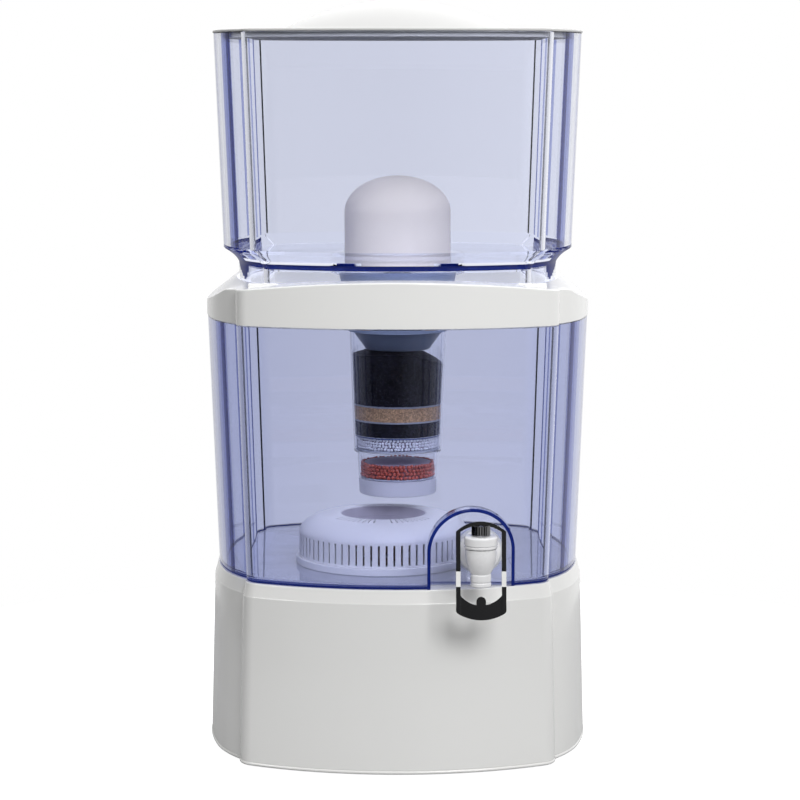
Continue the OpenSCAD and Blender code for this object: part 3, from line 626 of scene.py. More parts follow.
# Painted light: a faint navy glow keeps the painted edge lines navy instead of black.
painted_edge_shade.set(emission_color=(0.0015, 0.005, 0.055), emission_strength=1.0)
painted_corner_shade = skin_tint_and_shade("blue_corner_painted_shade_plastic", (0.008, 0.012, 0.11), 0.9)
painted_soft_shade = skin_tint_and_shade("blue_soft_painted_shade_plastic", (0.09, 0.12, 0.42), 1.0)
cove_paint = skin_tint_and_shade("blue_tint_cove_plastic", (0.84, 0.865, 0.967), 1.0, 1.03)

# %% [markdown]
# ## The pedestal
#
# A deep white shell, open below. It leans in a little towards the top, turns over a soft ridge,
# and slopes in to the lip that carries the lower tank. A small bead stiffens its lower edge.

# %% The pedestal
TANK_Z, TANK_FOOT, BASE_RIDGE, BASE_LIP = 150.5, 152.0, 155.7, 152.8
BASE_FOOT, BASE_WALL, LIP_H = 159.6, 3.0, 11.5
FOOT_LEDGE, FOOT_LIP, BEAD = 30, 5.2, 1.6  # reach of the turned-in floor flange, its top, and the bead
RIDGE_Z = TANK_Z - LIP_H
base = loft("pedestal", plans(
    (BASE_LIP - BASE_WALL, TANK_Z - BASE_WALL),
    (BASE_RIDGE - BASE_WALL, RIDGE_Z - 1.2),
    (BASE_FOOT - BASE_WALL, FOOT_LIP),
    (BASE_FOOT - FOOT_LEDGE, FOOT_LIP),
    (BASE_FOOT - FOOT_LEDGE, 1.0),
    *arc(BASE_FOOT - 1.2, 2.6, BEAD, -90, 60, 6),
    (BASE_FOOT - 0.1, 4.6),
    (BASE_RIDGE, RIDGE_Z),
    (BASE_RIDGE - 0.25, RIDGE_Z + 0.9),
    (BASE_RIDGE - 0.6, RIDGE_Z + 1.4),
    (BASE_LIP, TANK_Z - 0.7),
    (BASE_LIP - 0.2, TANK_Z - 0.2),
    (BASE_LIP - 0.7, TANK_Z),
))
white_shell.on(base)
# Painted light: the pedestal's inner faces get the faint painted glow.
base_painted_glow.on_faces(base, lambda at, normal: at.z > 6 and not outside(at, normal))
hand_over(smooth(base, 50), "base_stand", "white_shell", "base")

# %% [markdown]
# Four rubber feet keep it from sliding.

# %% Rubber feet
rubber = Paint("black_rubber", base_color=(0.02, 0.02, 0.021), gloss=(0.7, 0.15, 300, 3),
               wave=(500, 2, 0.0001, 0.4))
FEET_AT, FOOT_R = 114, 8.0
foot = [(0, 0), (FOOT_R - 0.8, 0), (FOOT_R - 0.2, 0.3), (FOOT_R, 0.9), (FOOT_R, 2.6), (0, 2.6)]
feet = [turned("foot", foot, AXIS + mm(x, y, 0), 48)
        for x in (-FEET_AT, FEET_AT) for y in (-FEET_AT, FEET_AT)]
dress(join("rubber_feet_set", feet), rubber, 30, "base_stand", "rubber", "rubber_feet")

# %% [markdown]
# ## The lid
#
# A flat white plate with a shallow dome in the middle, and a flange that drops into the tank's
# rim. The dome's rings run out into the plan of the body, so dome and plate are one skin.

# %% The lid
LID_Z, LID_T, LID_RISE, LID_DOME = 593.1, 2.2, 24.7, 98
LID_HALF, LID_FLANGE, LID_FLANGE_H = 154.0, 148.9, 4.4
LID_BALL = (LID_DOME ** 2 + LID_RISE ** 2) / (2 * LID_RISE)
LID_TURN = asin(LID_DOME / LID_BALL)


def dome_rings(drop, steps=18):
    """Rings of the dome from its top to its foot, at a distance below its outer skin."""
    turns = [LID_TURN * step / steps for step in (0.3, *range(1, steps + 1))]
    return [disc(LID_BALL * sin(a), LID_Z + LID_T + LID_RISE - LID_BALL * (1 - cos(a)) - drop)
            for a in turns]


lid = loft("lid_cover", [*dome_rings(LID_T), *plans(
    (LID_FLANGE - LID_T, LID_Z),
    (LID_FLANGE - LID_T, LID_Z - LID_FLANGE_H),
    (LID_FLANGE, LID_Z - LID_FLANGE_H),
    (LID_FLANGE, LID_Z),
    (LID_HALF - 0.8, LID_Z),
    (LID_HALF - 0.2, LID_Z + 0.2),
    (LID_HALF, LID_Z + 0.7),
    (LID_HALF, LID_Z + LID_T - 0.9),
    (LID_HALF - 0.4, LID_Z + LID_T - 0.3),
    (LID_HALF - 1.2, LID_Z + LID_T),
), *reversed(dome_rings(0))])
dress(lid, shaded_white_lid, 40, "lid", "white_shell", "lid")

# %% [markdown]
# ## The upper tank
#
# A thin clear wall that widens upwards from a soft cove. Below the cove a neck drops into the
# collar, and a round well in the floor seats the ceramic dome.

# %% The upper tank
UPPER_Z, UPPER_FLOOR_Z, UPPER_RIM_Z = 389.6, 410.3, 593.0
SKIRT, COVE, UPPER_RIM, UPPER_WALL = 133.4, 146.3, 153.4, 3.5
COVE_Z, WALL_Z = 404.0, 416.6
WELL_R, WELL_WALL, WELL_TOP, WELL_Z, STEM_R = 53.5, 3.0, 402.0, 399.0, 7.8
NECK_IN = SKIRT - UPPER_WALL
upper_tank = loft("upper_tank_glass", plans(
    (NECK_IN, UPPER_FLOOR_Z - 2.7),
    (NECK_IN, UPPER_Z + 0.8),
    (NECK_IN + 0.8, UPPER_Z),
    *arc(SKIRT - 0.8, UPPER_Z + 0.8, 0.8, -90, 0, 3),
    *[(SKIRT, z) for z in (392.4, 394.4, 396.4, 398.4, 400.4, 402.4)],
    *bend((SKIRT, COVE_Z), (SKIRT + 3.0, COVE_Z + 6.6), (COVE - 0.8, COVE_Z + 11.8), 9),
    (COVE, WALL_Z),
    (COVE + 0.11, 419.4),
    (UPPER_RIM, UPPER_RIM_Z - 0.5),
    (UPPER_RIM - 0.5, UPPER_RIM_Z),
    (UPPER_RIM - UPPER_WALL + 0.5, UPPER_RIM_Z),
    (UPPER_RIM - UPPER_WALL, UPPER_RIM_Z - 0.5),
    *bend((COVE - UPPER_WALL, 419.1), (SKIRT + 1.0, 413.0), (SKIRT - 2.0, UPPER_FLOOR_Z), 8),
    (NECK_IN - 3, UPPER_FLOOR_Z),
))
tank_upper_paint.on(upper_tank)
well = rod("well_ring", WELL_R + WELL_WALL, 393.5, 409.0, steps=128)
tank_upper_paint.on(well)
carve(upper_tank, well, "UNION")
carve(upper_tank, rod("well_top", WELL_R, WELL_TOP, 412, steps=128))
carve(upper_tank, rod("well_under", WELL_R, 392.0, WELL_Z, steps=128))
carve(upper_tank, rod("well_hole", STEM_R, WELL_Z - 1, WELL_TOP + 1, steps=48))
outward(upper_tank)


def upper_half(z):
    """Half width of the upper tank's wall at a height."""
    return COVE + (UPPER_RIM - COVE) * (z - WALL_Z) / (UPPER_RIM_Z - WALL_Z)


def painted_corner_shade_strips(piece, half, low):
    """Painted shade where the outer skin turns the corner: a soft strip, a deep one, and a thin line.
    """
    for paint, near, far in ((painted_soft_shade, 0.902, 0.932), (painted_corner_shade, 0.876, 0.902),
                             (painted_soft_shade, 0.976, 0.988)):
        paint.on_faces(piece, lambda at, normal: at.z > low and outside(at, normal)
                       and near < abs(at.x) / half(at.z) < far)


def far_out(at):
    """Is this place in the wall, and not at the well or in the floor's middle?"""
    return max(abs(at.x), abs(at.y)) > 100


def on_cove(at, normal):
    """Both skins of the cove."""
    return COVE_Z < at.z < 419 and abs(normal.z) < 0.999 and far_out(at)


def on_cove_line(at, normal):
    """The line along the foot of the cove, and the rest of its outer skin at the sides."""
    side = 0.9 * (SKIRT + 0.9 * (at.z - COVE_Z))
    return on_cove(at, normal) and outside(at, normal) and (
        at.z < 408.3 and at.y < 60 or at.z < WALL_Z and abs(at.x) > side)


def on_neck_corner(at, normal):
    """A wedge that narrows down the neck's corner."""
    down = (COVE_Z - at.z) / 13
    return (391 < at.z < COVE_Z and outside(at, normal)
            and 0.905 + 0.03 * down < abs(at.x) / SKIRT < 1 - 0.065 * down)


# Painted shade: deeper blue strips down the corners, and navy lines along the cove's foot and down the
# neck's corners.
painted_corner_shade_strips(upper_tank, upper_half, 420)
cove_paint.on_faces(upper_tank, on_cove)
painted_edge_shade.on_faces(upper_tank, on_cove_line)
painted_edge_shade.on_faces(upper_tank, on_neck_corner)
hand_over(smooth(upper_tank, 35), "upper_tank", "blue_tint_upper", "upper_tank")

# %% [markdown]
# ## The lower tank
#
# The same plastic, wider and a little thicker, with an arched niche pushed into its front. The
# niche has its own wall all round, which is joined to the tank before the niche is cut.

# %% The lower tank
TANK_TOP, TANK_WALL, TANK_EDGE = 367.4, 4.0, 2.5
TANK_RIM, TANK_SHOULDER, RABBET = 160.3, 360.0, 158.2
NICHE_X, NICHE_R, NICHE_TOP, NICHE_Y, NICHE_WALL = 59.0, 32.6, 213.0, -134.5, 2.7


def tank_half(z):
    """Half width of the lower tank's wall at a height."""
    return TANK_FOOT + (TANK_RIM - TANK_FOOT) * (z - TANK_Z) / (TANK_TOP - TANK_Z)


cove_turns = [radians(90 * i / 5) for i in range(6)]
lower_tank = loft("lower_tank_glass", plans(
    *arc(TANK_FOOT - TANK_EDGE, TANK_Z + TANK_EDGE, TANK_EDGE, -90, 0, 5),
    (tank_half(TANK_SHOULDER - 0.4), TANK_SHOULDER - 0.4),
    (tank_half(TANK_SHOULDER) - 0.4, TANK_SHOULDER),
    (RABBET, TANK_SHOULDER),
    (RABBET, TANK_TOP),
    (TANK_RIM - TANK_WALL, TANK_TOP),
    *[(tank_half(TANK_Z + 5.5) - TANK_WALL - 2.5 * (1 - cos(a)), TANK_Z + 5.5 - 2.5 * sin(a))
      for a in cove_turns],
))
tank_lower_paint.on(lower_tank)


def arch(name, grow, front, back):
    """Solid of the niche's arched outline, between two distances from the axis."""
    r, centre_z = NICHE_R + grow, NICHE_TOP - NICHE_R
    outline = []
    for a in circle(96):
        x, z = -r * sin(a), r * cos(a)
        if z < -0.01:
            x, z = copysign(r, x) if abs(x) > 0.3 else x, TANK_Z - 5 - centre_z
        outline.append(mm(NICHE_X + x, front, centre_z + z) + AXIS)
    piece = prism(name, outline, (0, (back - front) * MM, 0))
    tank_lower_paint.on(piece)
    return piece


wall_block = arch("arch_wall", NICHE_WALL, -HALF, NICHE_Y + TANK_WALL)
# The core carries the painted edge shade, so a navy line of painted shade runs round the niche's arch.
core = loft("tank_core", plans((TANK_FOOT - 0.4, TANK_Z + 0.01), (TANK_FOOT + 0.06, TANK_Z + TANK_EDGE),
                               (tank_half(TANK_TOP) + 0.06, TANK_TOP)))
painted_edge_shade.on(core)
carve(wall_block, core, "INTERSECT")
carve(lower_tank, wall_block, "UNION")
carve(lower_tank, arch("niche", 0, -HALF - 5, NICHE_Y))
hole_low, hole_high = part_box("tap_outer_washer")
start()
bpy.ops.mesh.primitive_cylinder_add(vertices=64, radius=8.3 * MM, depth=20 * MM,
                                    rotation=(pi / 2, 0, 0), location=(hole_low + hole_high) / 2)
carve(lower_tank, settle(named("shank_hole")))
outward(lower_tank)
# Painted shade: a navy line round the tank's foot and deeper blue strips down its corners.
painted_edge_shade.on_faces(lower_tank, lambda at, normal: at.z < 153.2 and outside(at, normal)
                    and abs(normal.z) < 0.97 and far_out(at))
painted_corner_shade_strips(lower_tank, tank_half, 155)
hand_over(smooth(lower_tank, 35), "lower_tank", "blue_tint_lower", "lower_tank")

# %% [markdown]
# ## The collar
#
# A white band that sits on the lower tank and carries the upper one. Its top edge is arched in
# front and behind and falls like a roof at the sides. Two lugs keep the upper tank in place.

# %% The collar
COLLAR_Z, NECK = 360.4, 134.4


def arched(x):
    """Height of the arched edge over the collar's foot."""
    return 36.8 - 8.4 * (x / 129.425) ** 2


def roofed(x):
    """Height of the edge that falls like a roof, over the collar's foot."""
    return 13.1 + (HALF - abs(x)) * (30.6 - 13.1) / (HALF - NECK)


def edge_ring(half, drop, width, height):
    """Ring at a half width, below a line whose height goes by the plan's place at another width."""
    return lambda i: mm(PLAN[i].x * half, PLAN[i].y * half,
                        COLLAR_Z + height(PLAN[i].x * width) - drop) + AXIS


def crown(half, drop):
    """Ring along the collar's top edge: arched in front and behind, roofed at the sides."""
    return edge_ring(half, drop, HALF, lambda x: min(arched(x), roofed(x)))


def lip(half, drop):
    """Ring along the edge of the neck's opening."""
    return edge_ring(half, drop, NECK, lambda x: max(arched(x), 30.6))


LEDGE = 8.6
collar = loft("collar_band", [
    *plans((HALF - 0.3, COLLAR_Z), (HALF, COLLAR_Z + 0.3)),
    crown(HALF, 1.4), crown(HALF - 0.15, 0.8), crown(HALF - 0.5, 0.3), crown(HALF - 1.2, 0),
    lip(NECK + 1.0, 0), lip(NECK + 0.3, 0.3), lip(NECK, 1.0),
    *plans((NECK, UPPER_Z), (NECK - LEDGE, UPPER_Z), (NECK - LEDGE, UPPER_Z - 2.6),
           (NECK + 2.6, UPPER_Z - 3.2)),
    crown(HALF - 4.2, 4.0),
    *plans((RABBET + 0.3 - 2.5, TANK_TOP + 0.2), (RABBET + 0.3, TANK_TOP + 0.2),
           (RABBET + 0.3, COLLAR_Z)),
], closed=True)
LUG_X, LUG_HALF, LUG_BACK = 107.75, 11.75, -0.85 * NECK
lugs = [block("lug", (x - LUG_HALF, LUG_BACK - 5, 388.0), (x + LUG_HALF, LUG_BACK, 393.4))
        for x in (-LUG_X, LUG_X)]
collar = join("collar_band", [collar, *[soften(lug, 0.6 * MM, 3) for lug in lugs]])
white_collar.on(collar)
# Painted light: the collar's inner faces get the painted glow.
collar_painted_glow.on_faces(collar, lambda at, normal: at.z < 399 and not outside(at, normal) and far_out(at))
hand_over(smooth(collar, 40), "collar", "white_shell", "collar")

# %% [markdown]
# ## The ceramic dome and its seat
#
# The dome is a thick shell of porous ceramic, glued into a shallow white plate. The plate's
# threaded stem passes through the tank's floor over a silicone gasket, and a hexagonal nut pulls
# it tight from below. All four are turned, apart from the nut's six sides.

# %% The ceramic dome
DOME_Z, DOME_R, DOME_SIDE, DOME_TOP, DOME_WALL = 407.2, 44.8, 37.0, 30.7, 8.0


def quarter_ellipse(r, h):
    """Points of the dome's quarter, from its side to its top."""
    turns = [radians(90 * i / 32) for i in range(33)]
    return [(r * cos(a), DOME_Z + DOME_SIDE + h * sin(a)) for a in turns]


dome = turned("filter_dome", [
    (DOME_R - DOME_WALL, DOME_Z), (DOME_R - 0.4, DOME_Z), (DOME_R, DOME_Z + 0.4),
    *quarter_ellipse(DOME_R, DOME_TOP),
    *reversed(quarter_ellipse(DOME_R - DOME_WALL, DOME_TOP - DOME_WALL))], steps=160)
ceramic = Paint("unglazed_ceramic", ior=1.4, specular_ior_level=0.25,
                mottle=(30, 4, (0.70, 0.655, 0.61), (0.76, 0.71, 0.66)),
                gloss=(0.75, 0.1, 200, 2), wave=(900, 3, 0.0001, 0.35))
dress(dome, ceramic, 40, "upper_tank", "ceramic", "ceramic_dome")

# %% Plate, gasket and nut
satin = Paint("white_satin_plastic", base_color=(0.84, 0.845, 0.86), ior=1.47,
              gloss=(0.26, 0.08, 90, 3), wave=(60, 2, 0.0001, 0.2))
silicone = Paint("milky_silicone", base_color=(0.80, 0.82, 0.87), transmission_weight=0.35, ior=1.41,
                 gloss=(0.34, 0.1, 150, 2), wave=(200, 2, 0.00005, 0.3))
seat_plate = turned("dome_seat_plate", [
    (4, 374.4), (4.4, 374), (7.1, 374), (7.5, 374.5), (7.5, 404), (49.1, 404), (49.5, 404.4),
    (49.5, 405.4), (49.2, 405.8), (45.4, 407.1), (4.4, 407.2), (4, 406.8)], steps=128)
dress(seat_plate, satin, 40, "upper_tank", "white_plastic", "dome_plate")

gasket = turned("floor_gasket", [
    (7.55, 402.2), (7.9, 402), (23.2, 402), *arc(23.2, 403, 0.8, -60, 60, 4),
    (23.2, 404), (7.9, 404), (7.55, 403.7)], steps=96)
dress(gasket, silicone, 40, "upper_tank", "silicone", "dome_gasket")

start()
bpy.ops.mesh.primitive_cylinder_add(vertices=6, radius=15 * MM, depth=6 * MM,
                                    location=AXIS + Vector((0, 0, 394)) * MM)
lock_nut = settle(named("stem_lock_nut"))
chamfer = turned("chamfer", [(0, 390), (13.6, 390), (15.4, 392.2), (15.4, 398), (0, 398)])
carve(lock_nut, chamfer, "INTERSECT")
carve(lock_nut, rod("nut_flange", 15, 396.8, 399, steps=96, edge=0.3), "UNION")
carve(lock_nut, rod("nut_bore", 7.55, 390, 400, steps=64))
soften(outward(lock_nut), 0.25 * MM, 2, 30)
dress(lock_nut, satin, 35, "upper_tank", "white_plastic", "dome_lock_nut")

# %% [markdown]
# ## The cartridge
#
# A dished grey-blue cap screws on the stem and runs into a cone. Under it hangs a clear, slightly
# tapered cup with a step, which holds the beds: coarse carbon, sand, fine carbon and white balls,
# then a gap, red balls, and a frosted end cup with outlet holes. Felt pads keep the beds apart.

# %% Cap and housing
grey_blue = Paint("grey_blue_plastic", ior=1.5, gloss=(0.32, 0.1, 120, 3),
                  mottle=(20, 2, (0.21, 0.26, 0.36), (0.28, 0.33, 0.43)))
clear = Paint("clear_plastic", base_color=(0.97, 0.98, 1.0), transmission_weight=1.0, ior=1.45,
              specular_ior_level=0.2, gloss=(0.01, 0.02, 60, 2), wave=(20, 1, 0.0004, 0.1))
clear.lets_lamps_through()
cap = turned("cartridge_cap_shell", [
    (7.55, 388.5), (11.5, 388.5), (11.5, 387.5), (47, 387.5), (47, 398.5), (49.5, 398.5), (49.5, 392.5),
    (42.3, 357.85), (42.3, 344.3), (38.5, 344.3), (37.5, 343.3), (27, 328.9), (4, 328.9), (4, 331.4),
    (24.5, 331.4), (37.5, 346.3), (39.8, 385), (7.55, 385)], steps=128, edge=0.3)
dress(cap, grey_blue, 35, "upper_tank", "grey_blue_plastic", "cartridge_cap")

HOUSING_TOP, STEP_Z, CUP_TOP, TOP_R, STEP_R = 344.3, 241.7, 218.7, 40.8, 37.1
housing = turned("cartridge_cup", [
    (TOP_R, HOUSING_TOP), (STEP_R, STEP_Z), (34.3, STEP_Z), (33.3, CUP_TOP), (32.2, CUP_TOP),
    (33.2, STEP_Z + 1.2), (36.0, STEP_Z + 1.2), (39.7, HOUSING_TOP)], steps=128, edge=0.2)
dress(housing, clear, 35, "upper_tank", "clear_plastic", "cartridge_housing")

# %% [markdown]
# The grainy beds are turned with many small faces, and Displace pushes those in by a cell pattern
# the size of the grains. The coarse carbon has settled unevenly, lower on the right.

# %% Grainy beds
def bed_r(z):
    """Radius of a bed inside the housing."""
    return STEP_R - 1.25 + (TOP_R - STEP_R) * (z - STEP_Z) / (HOUSING_TOP - STEP_Z)


def grains(piece, size, depth):
    """Pushes the surface in by a pattern of cells."""
    pattern = bpy.data.textures.new(piece.name, "VORONOI")
    pattern.noise_scale = size * MM
    return apply(piece, "DISPLACE", texture=pattern, texture_coords="LOCAL",
                 strength=-depth * MM, mid_level=0.0)


def bed(name, low, high, pitch, steps=200):
    """A bed between two heights, in rows of faces about a pitch high."""
    rows = round((high - low) / pitch)
    side = [low + (high - low) * i / rows for i in range(rows + 1)]
    top_r = bed_r(high) - 0.05
    return turned(name, [(0, low), *[(bed_r(z) - 0.05, z) for z in side],
                         *[(top_r * (1 - i / 16), high) for i in range(1, 17)]], steps=steps)


coarse = bed("coarse_carbon", 282.9, 327.0, 1.0, 240)
for point in coarse.data.vertices:
    at = (point.co - AXIS) / MM
    slump = 2.5 if at.x < 0 else 10.5
    point.co.z -= slump * (at.x / 37) ** 2 * max(0, at.z - 300) / 28.8 * MM
grains(coarse, 1.7, 0.8)
carbon = Paint("carbon_grains", specular_ior_level=0.1, gloss=(0.5, 0.2, 300, 2))
carbon.set(base_color=carbon.tint(carbon.cells(420, out=1), (0.0008, 0.0009, 0.004),
                                  (0.016, 0.015, 0.026)),
           normal=carbon.bump(carbon.cells(420), 0.0015, 0.9))
dress(coarse, carbon, 60, "upper_tank", "carbon", "carbon_bed")

fine = grains(bed("fine_carbon", 256.5, 268.5, 1.0), 0.9, 0.4)
dress(fine, carbon, 60, "upper_tank", "carbon", "fine_carbon_bed")

quartz = grains(bed("quartz_sand", 269.8, 281.6, 0.8), 1.0, 0.4)
sand = Paint("sand_grains", gloss=(0.6, 0.2, 400, 2))
sand.set(base_color=sand.tint(sand.cells(900, out=1), (0.28, 0.17, 0.08), (0.92, 0.58, 0.32)),
         normal=sand.bump(sand.cells(900), 0.0006, 0.8))
dress(quartz, sand, 60, "upper_tank", "sand", "sand_bed")

# %% [markdown]
# The balls are rings of one small ball. Spin deals the ring out, and each ball is nudged a little
# by a seeded draw. Only the outer rings show, so a plain core fills the middle, painted darker as
# the shade between the balls.

# %% Ball beds
# Painted shade: the ball beds' core is a dark mauve, standing for the shade between the balls.
painted_ball_shade = Paint("ball_shadow", base_color=(0.17, 0.11, 0.15), gloss=(0.7, 0.2, 300, 2))
# A lighter mauve for the core's upward faces.
core_top_paint = Paint("ball_core_top", base_color=(0.50, 0.42, 0.50), gloss=(0.7, 0.2, 300, 2))


def balls(name, paint, size, rings, core, seed):
    """Rings of balls at (radius, height), round a darker core of (radius, low, high), painted shade
    between the balls.
    """
    draw = random.Random(seed)
    core = rod("core", *core)
    painted_ball_shade.on(core)
    core_top_paint.on_faces(core, lambda at, normal: normal.z > 0.5)
    rows = []
    for radius, height in rings:
        start()
        bpy.ops.mesh.primitive_uv_sphere_add(segments=10, ring_count=6, radius=size / 2 * MM,
                                             location=AXIS + Vector((radius, 0, height)) * MM)
        ball = settle(named("ball"))
        each = len(ball.data.vertices)
        count = int(2 * pi * radius / size / 1.06)
        row = dealt(ball, count)
        row.data.transform(Matrix.Translation(AXIS) @ Matrix.Rotation(draw.random(), 4, "Z")
                           @ Matrix.Translation(-AXIS))
        nudges = [Vector([draw.uniform(-1, 1) for _ in range(3)]) * size * 0.12 * MM
                  for _ in range(count)]
        for i, point in enumerate(row.data.vertices):
            point.co += nudges[i // each]
        paint.on(row)
        rows.append(row)
    print(name, "has", sum(len(row.data.vertices) for row in rows) // each, "balls")
    return smooth(join(name, [*rows, core]), 60)


def stacked(radius, low, size):
    """Four rings of balls, one on the other: (radius, height) of each."""
    return [(radius - 0.55 * size, low + 0.92 * size * i) for i in range(4)]


WHITE, RED = 2.7, 3.3
white_ball = Paint("white_ball_ceramic", gloss=(0.3, 0.15, 200, 2),
                   mottle=(300, 2, (0.80, 0.80, 0.84), (0.92, 0.92, 0.95)))
white_balls = balls("white_ceramic_balls", white_ball, WHITE,
                    stacked(bed_r(246) - 0.5, 246.5, WHITE), (33.2, 245.3, 255.0), 3)
hand_over(white_balls, "upper_tank", "white_balls", "white_ball_bed")

red_ball = Paint("red_ball_clay", gloss=(0.3, 0.15, 200, 2),
                 mottle=(150, 3, (0.36, 0.05, 0.035), (0.66, 0.15, 0.09)))
red_balls = balls("red_clay_balls", red_ball, RED, stacked(31.9, 222.0, RED), (28.6, 220.4, 231.8), 5)
hand_over(red_balls, "upper_tank", "red_balls", "red_ball_bed")

# %% Pads and end cup
pads = []
for low, r in *[(z, bed_r(z)) for z in (281.6, 268.5, 255.2, 243.7)], (218.9, 31.0):
    r -= 0.1
    pads.append(turned("pad", [(0, low + 0.02), (r - 0.3, low + 0.02), (r, low + 0.3), (r, low + 1.0),
                               (r - 0.3, low + 1.28), (0, low + 1.28)], steps=128))
felt = Paint("pad_felt", gloss=(0.85, 0.1, 400, 2), wave=(1500, 3, 0.0002, 0.6))
# A navy band round the lower part of the pad under the fine carbon.
navy_band = felt.between(felt.along(2), 255.2, 256.0)
fibres = felt.tint(felt.noise(900, 3), (0.36, 0.38, 0.45), (0.56, 0.58, 0.65))
felt.set(base_color=felt.choose(navy_band, fibres, (0.045, 0.085, 0.27)))
dress(join("felt_pads", pads), felt, 40, "upper_tank", "pad_felt", "separator_pads")

end_cup = turned("outlet_cup", [
    (0, 205.7), (32.1, 205.7), (32.55, 206.2), (33.3, 218.4), (33.0, 218.7), (30.9, 218.7),
    (30.6, 218.4), (30.4, 207.6), (29.9, 207.2), (0, 207.2)], steps=128)
carve(end_cup, dealt(rod("outlet", 3, 204, 209, AXIS + mm(18, 0, 0), 32), 6))
frosted = Paint("frosted_plastic", base_color=(0.92, 0.92, 0.95), transmission_weight=0.3, ior=1.45,
                gloss=(0.3, 0.15, 120, 3), wave=(80, 2, 0.0002, 0.2))
dress(outward(end_cup), frosted, 35, "upper_tank", "frosted_plastic", "cartridge_end_cup")

# %% [markdown]
# ## The mineral case
#
# A slotted drum on a flanged dish. Its wall turns over a broad shoulder into a sunken middle, and
# 70 slots are cut through the wall, with two short rows beside the dish. Stones lie inside.

# %% The case
CASE_PLACE = Vector((-12, -38, 153.5))
CASE_AT = CASE_PLACE * MM + AXIS
CASE_R, CASE_WALL, FLANGE_H, SIDE_TOP, CASE_TOP = 70.5, 2.5, 6.2, 25.7, 41.0
DISH_R, DISH_H, SLOTS, SHORT_SLOTS = 35.5, 8.0, 70, 9
DISH_TOP = CASE_TOP - DISH_H


def shoulder(inset):
    """Points of the wall's turn into the top, at a distance inside the outer skin."""
    reach = CASE_R - DISH_R - 2 - inset
    return [(DISH_R + 2 + reach * cos(a), SIDE_TOP + (CASE_TOP - inset - SIDE_TOP) * sin(a))
            for a in [radians(90 * i / 20) for i in range(21)]]


case_top = turned("slotted_case", [
    (CASE_R - CASE_WALL, FLANGE_H + 0.02), (CASE_R - 0.3, FLANGE_H + 0.02),
    (CASE_R, FLANGE_H + 0.3), *shoulder(0),
    (DISH_R + 0.8, CASE_TOP), (DISH_R + 0.2, CASE_TOP - 0.3), (DISH_R - 0.3, CASE_TOP - 0.9),
    (DISH_R - 4.4, DISH_TOP + 0.6), (DISH_R - 5.4, DISH_TOP), (0, DISH_TOP),
    (0, DISH_TOP - CASE_WALL), (DISH_R - 6, DISH_TOP - CASE_WALL),
    (DISH_R + 1, CASE_TOP - CASE_WALL), *reversed(shoulder(CASE_WALL))], CASE_AT, 210)
slot = block("slot", (CASE_R - CASE_WALL - 1, -0.85, 8.0), (CASE_R + 2, 0.85, 24.9), CASE_AT)
slots = dealt(slot, SLOTS, CASE_AT)
short = [block("short", (DISH_R + 1, -0.7, CASE_TOP - 5), (DISH_R + 13, 0.7, CASE_TOP + 3), CASE_AT,
               radians(-90 + side * (9 + 5.5 * i))) for side in (-1, 1) for i in range(SHORT_SLOTS)]
carve(case_top, join("slots", [slots, *short]))
case_paint = Paint("mineral_case_plastic", ior=1.47, gloss=(0.3, 0.1, 70, 3),
                   wave=(40, 2, 0.0002, 0.15), mottle=(25, 3, (0.80, 0.79, 0.76), (0.87, 0.86, 0.83)))
case_paint.on(outward(case_top))
# Painted shade: the sunken middle of the case's top is a darker mauve, as if in shadow.
dish_painted_shade = Paint("mineral_dish_painted_shade", ior=1.47, gloss=(0.3, 0.1, 70, 3),
                   mottle=(60, 3, (0.42, 0.39, 0.43), (0.52, 0.49, 0.52)))
dish_painted_shade.on_faces(case_top, lambda at, normal: (at - CASE_PLACE).xy.length < DISH_R - 0.5
                    and at.z > 184)
hand_over(smooth(case_top, 30), "mineral_case", "case_plastic", "mineral_case_top")

case_base = turned("case_dish", [
    (0, 0), (67, 0), (67, 0.3), (72.6, 0.3), (73, 0.7), (73, FLANGE_H - 0.5),
    (72.5, FLANGE_H), (66.5, FLANGE_H), (66.5, 2.5), (0, 2.5)], CASE_AT, 192)
dress(case_base, case_paint, 35, "mineral_case", "case_plastic", "mineral_case_base")

# %% [markdown]
# Each stone is a ball whose points are pushed about at random and then smoothed.

# %% Stones
STONE_GAP = 17.667
stones = []
draw = random.Random(11)
for row in range(4):
    for i in range(max(1, 6 * row)):
        turn = radians(10 * row + (60 * i / row if row else 0))
        start()
        bpy.ops.mesh.primitive_ico_sphere_add(subdivisions=2, radius=6.3 * MM)
        stone = named("stone")
        with edit():
            bpy.ops.transform.vertex_random(offset=1.1 * MM, normal=0.4, seed=draw.randrange(1000))
            bpy.ops.mesh.vertices_smooth(factor=0.5, repeat=2)
        apply(stone, "SUBSURF", levels=1)
        stone.scale = (1.0, draw.uniform(0.85, 1.0), draw.uniform(0.8, 0.95))
        stone.rotation_euler = (0, 0, draw.uniform(0, 3))
        reach = STONE_GAP * row
        stone.location = CASE_AT + mm(reach * cos(turn), reach * sin(turn), 8.6)
        stones.append(settle(stone))
stone_paint = Paint("tumbled_stone", gloss=(0.6, 0.1, 100, 2),
                    mottle=(60, 4, (0.30, 0.17, 0.09), (0.62, 0.47, 0.33)))
dress(join("tumbled_stones", stones), stone_paint, 60, "mineral_case", "stone", "mineral_stones")

# %% [markdown]
# ## The tap
#
# A white bulb on a shank that passes through the niche's back. A flange and two washers seal it,
# and a scalloped nut clamps it from inside the tank. The bonnet closes the valve's chamber, and a
# small ring ends the spout.

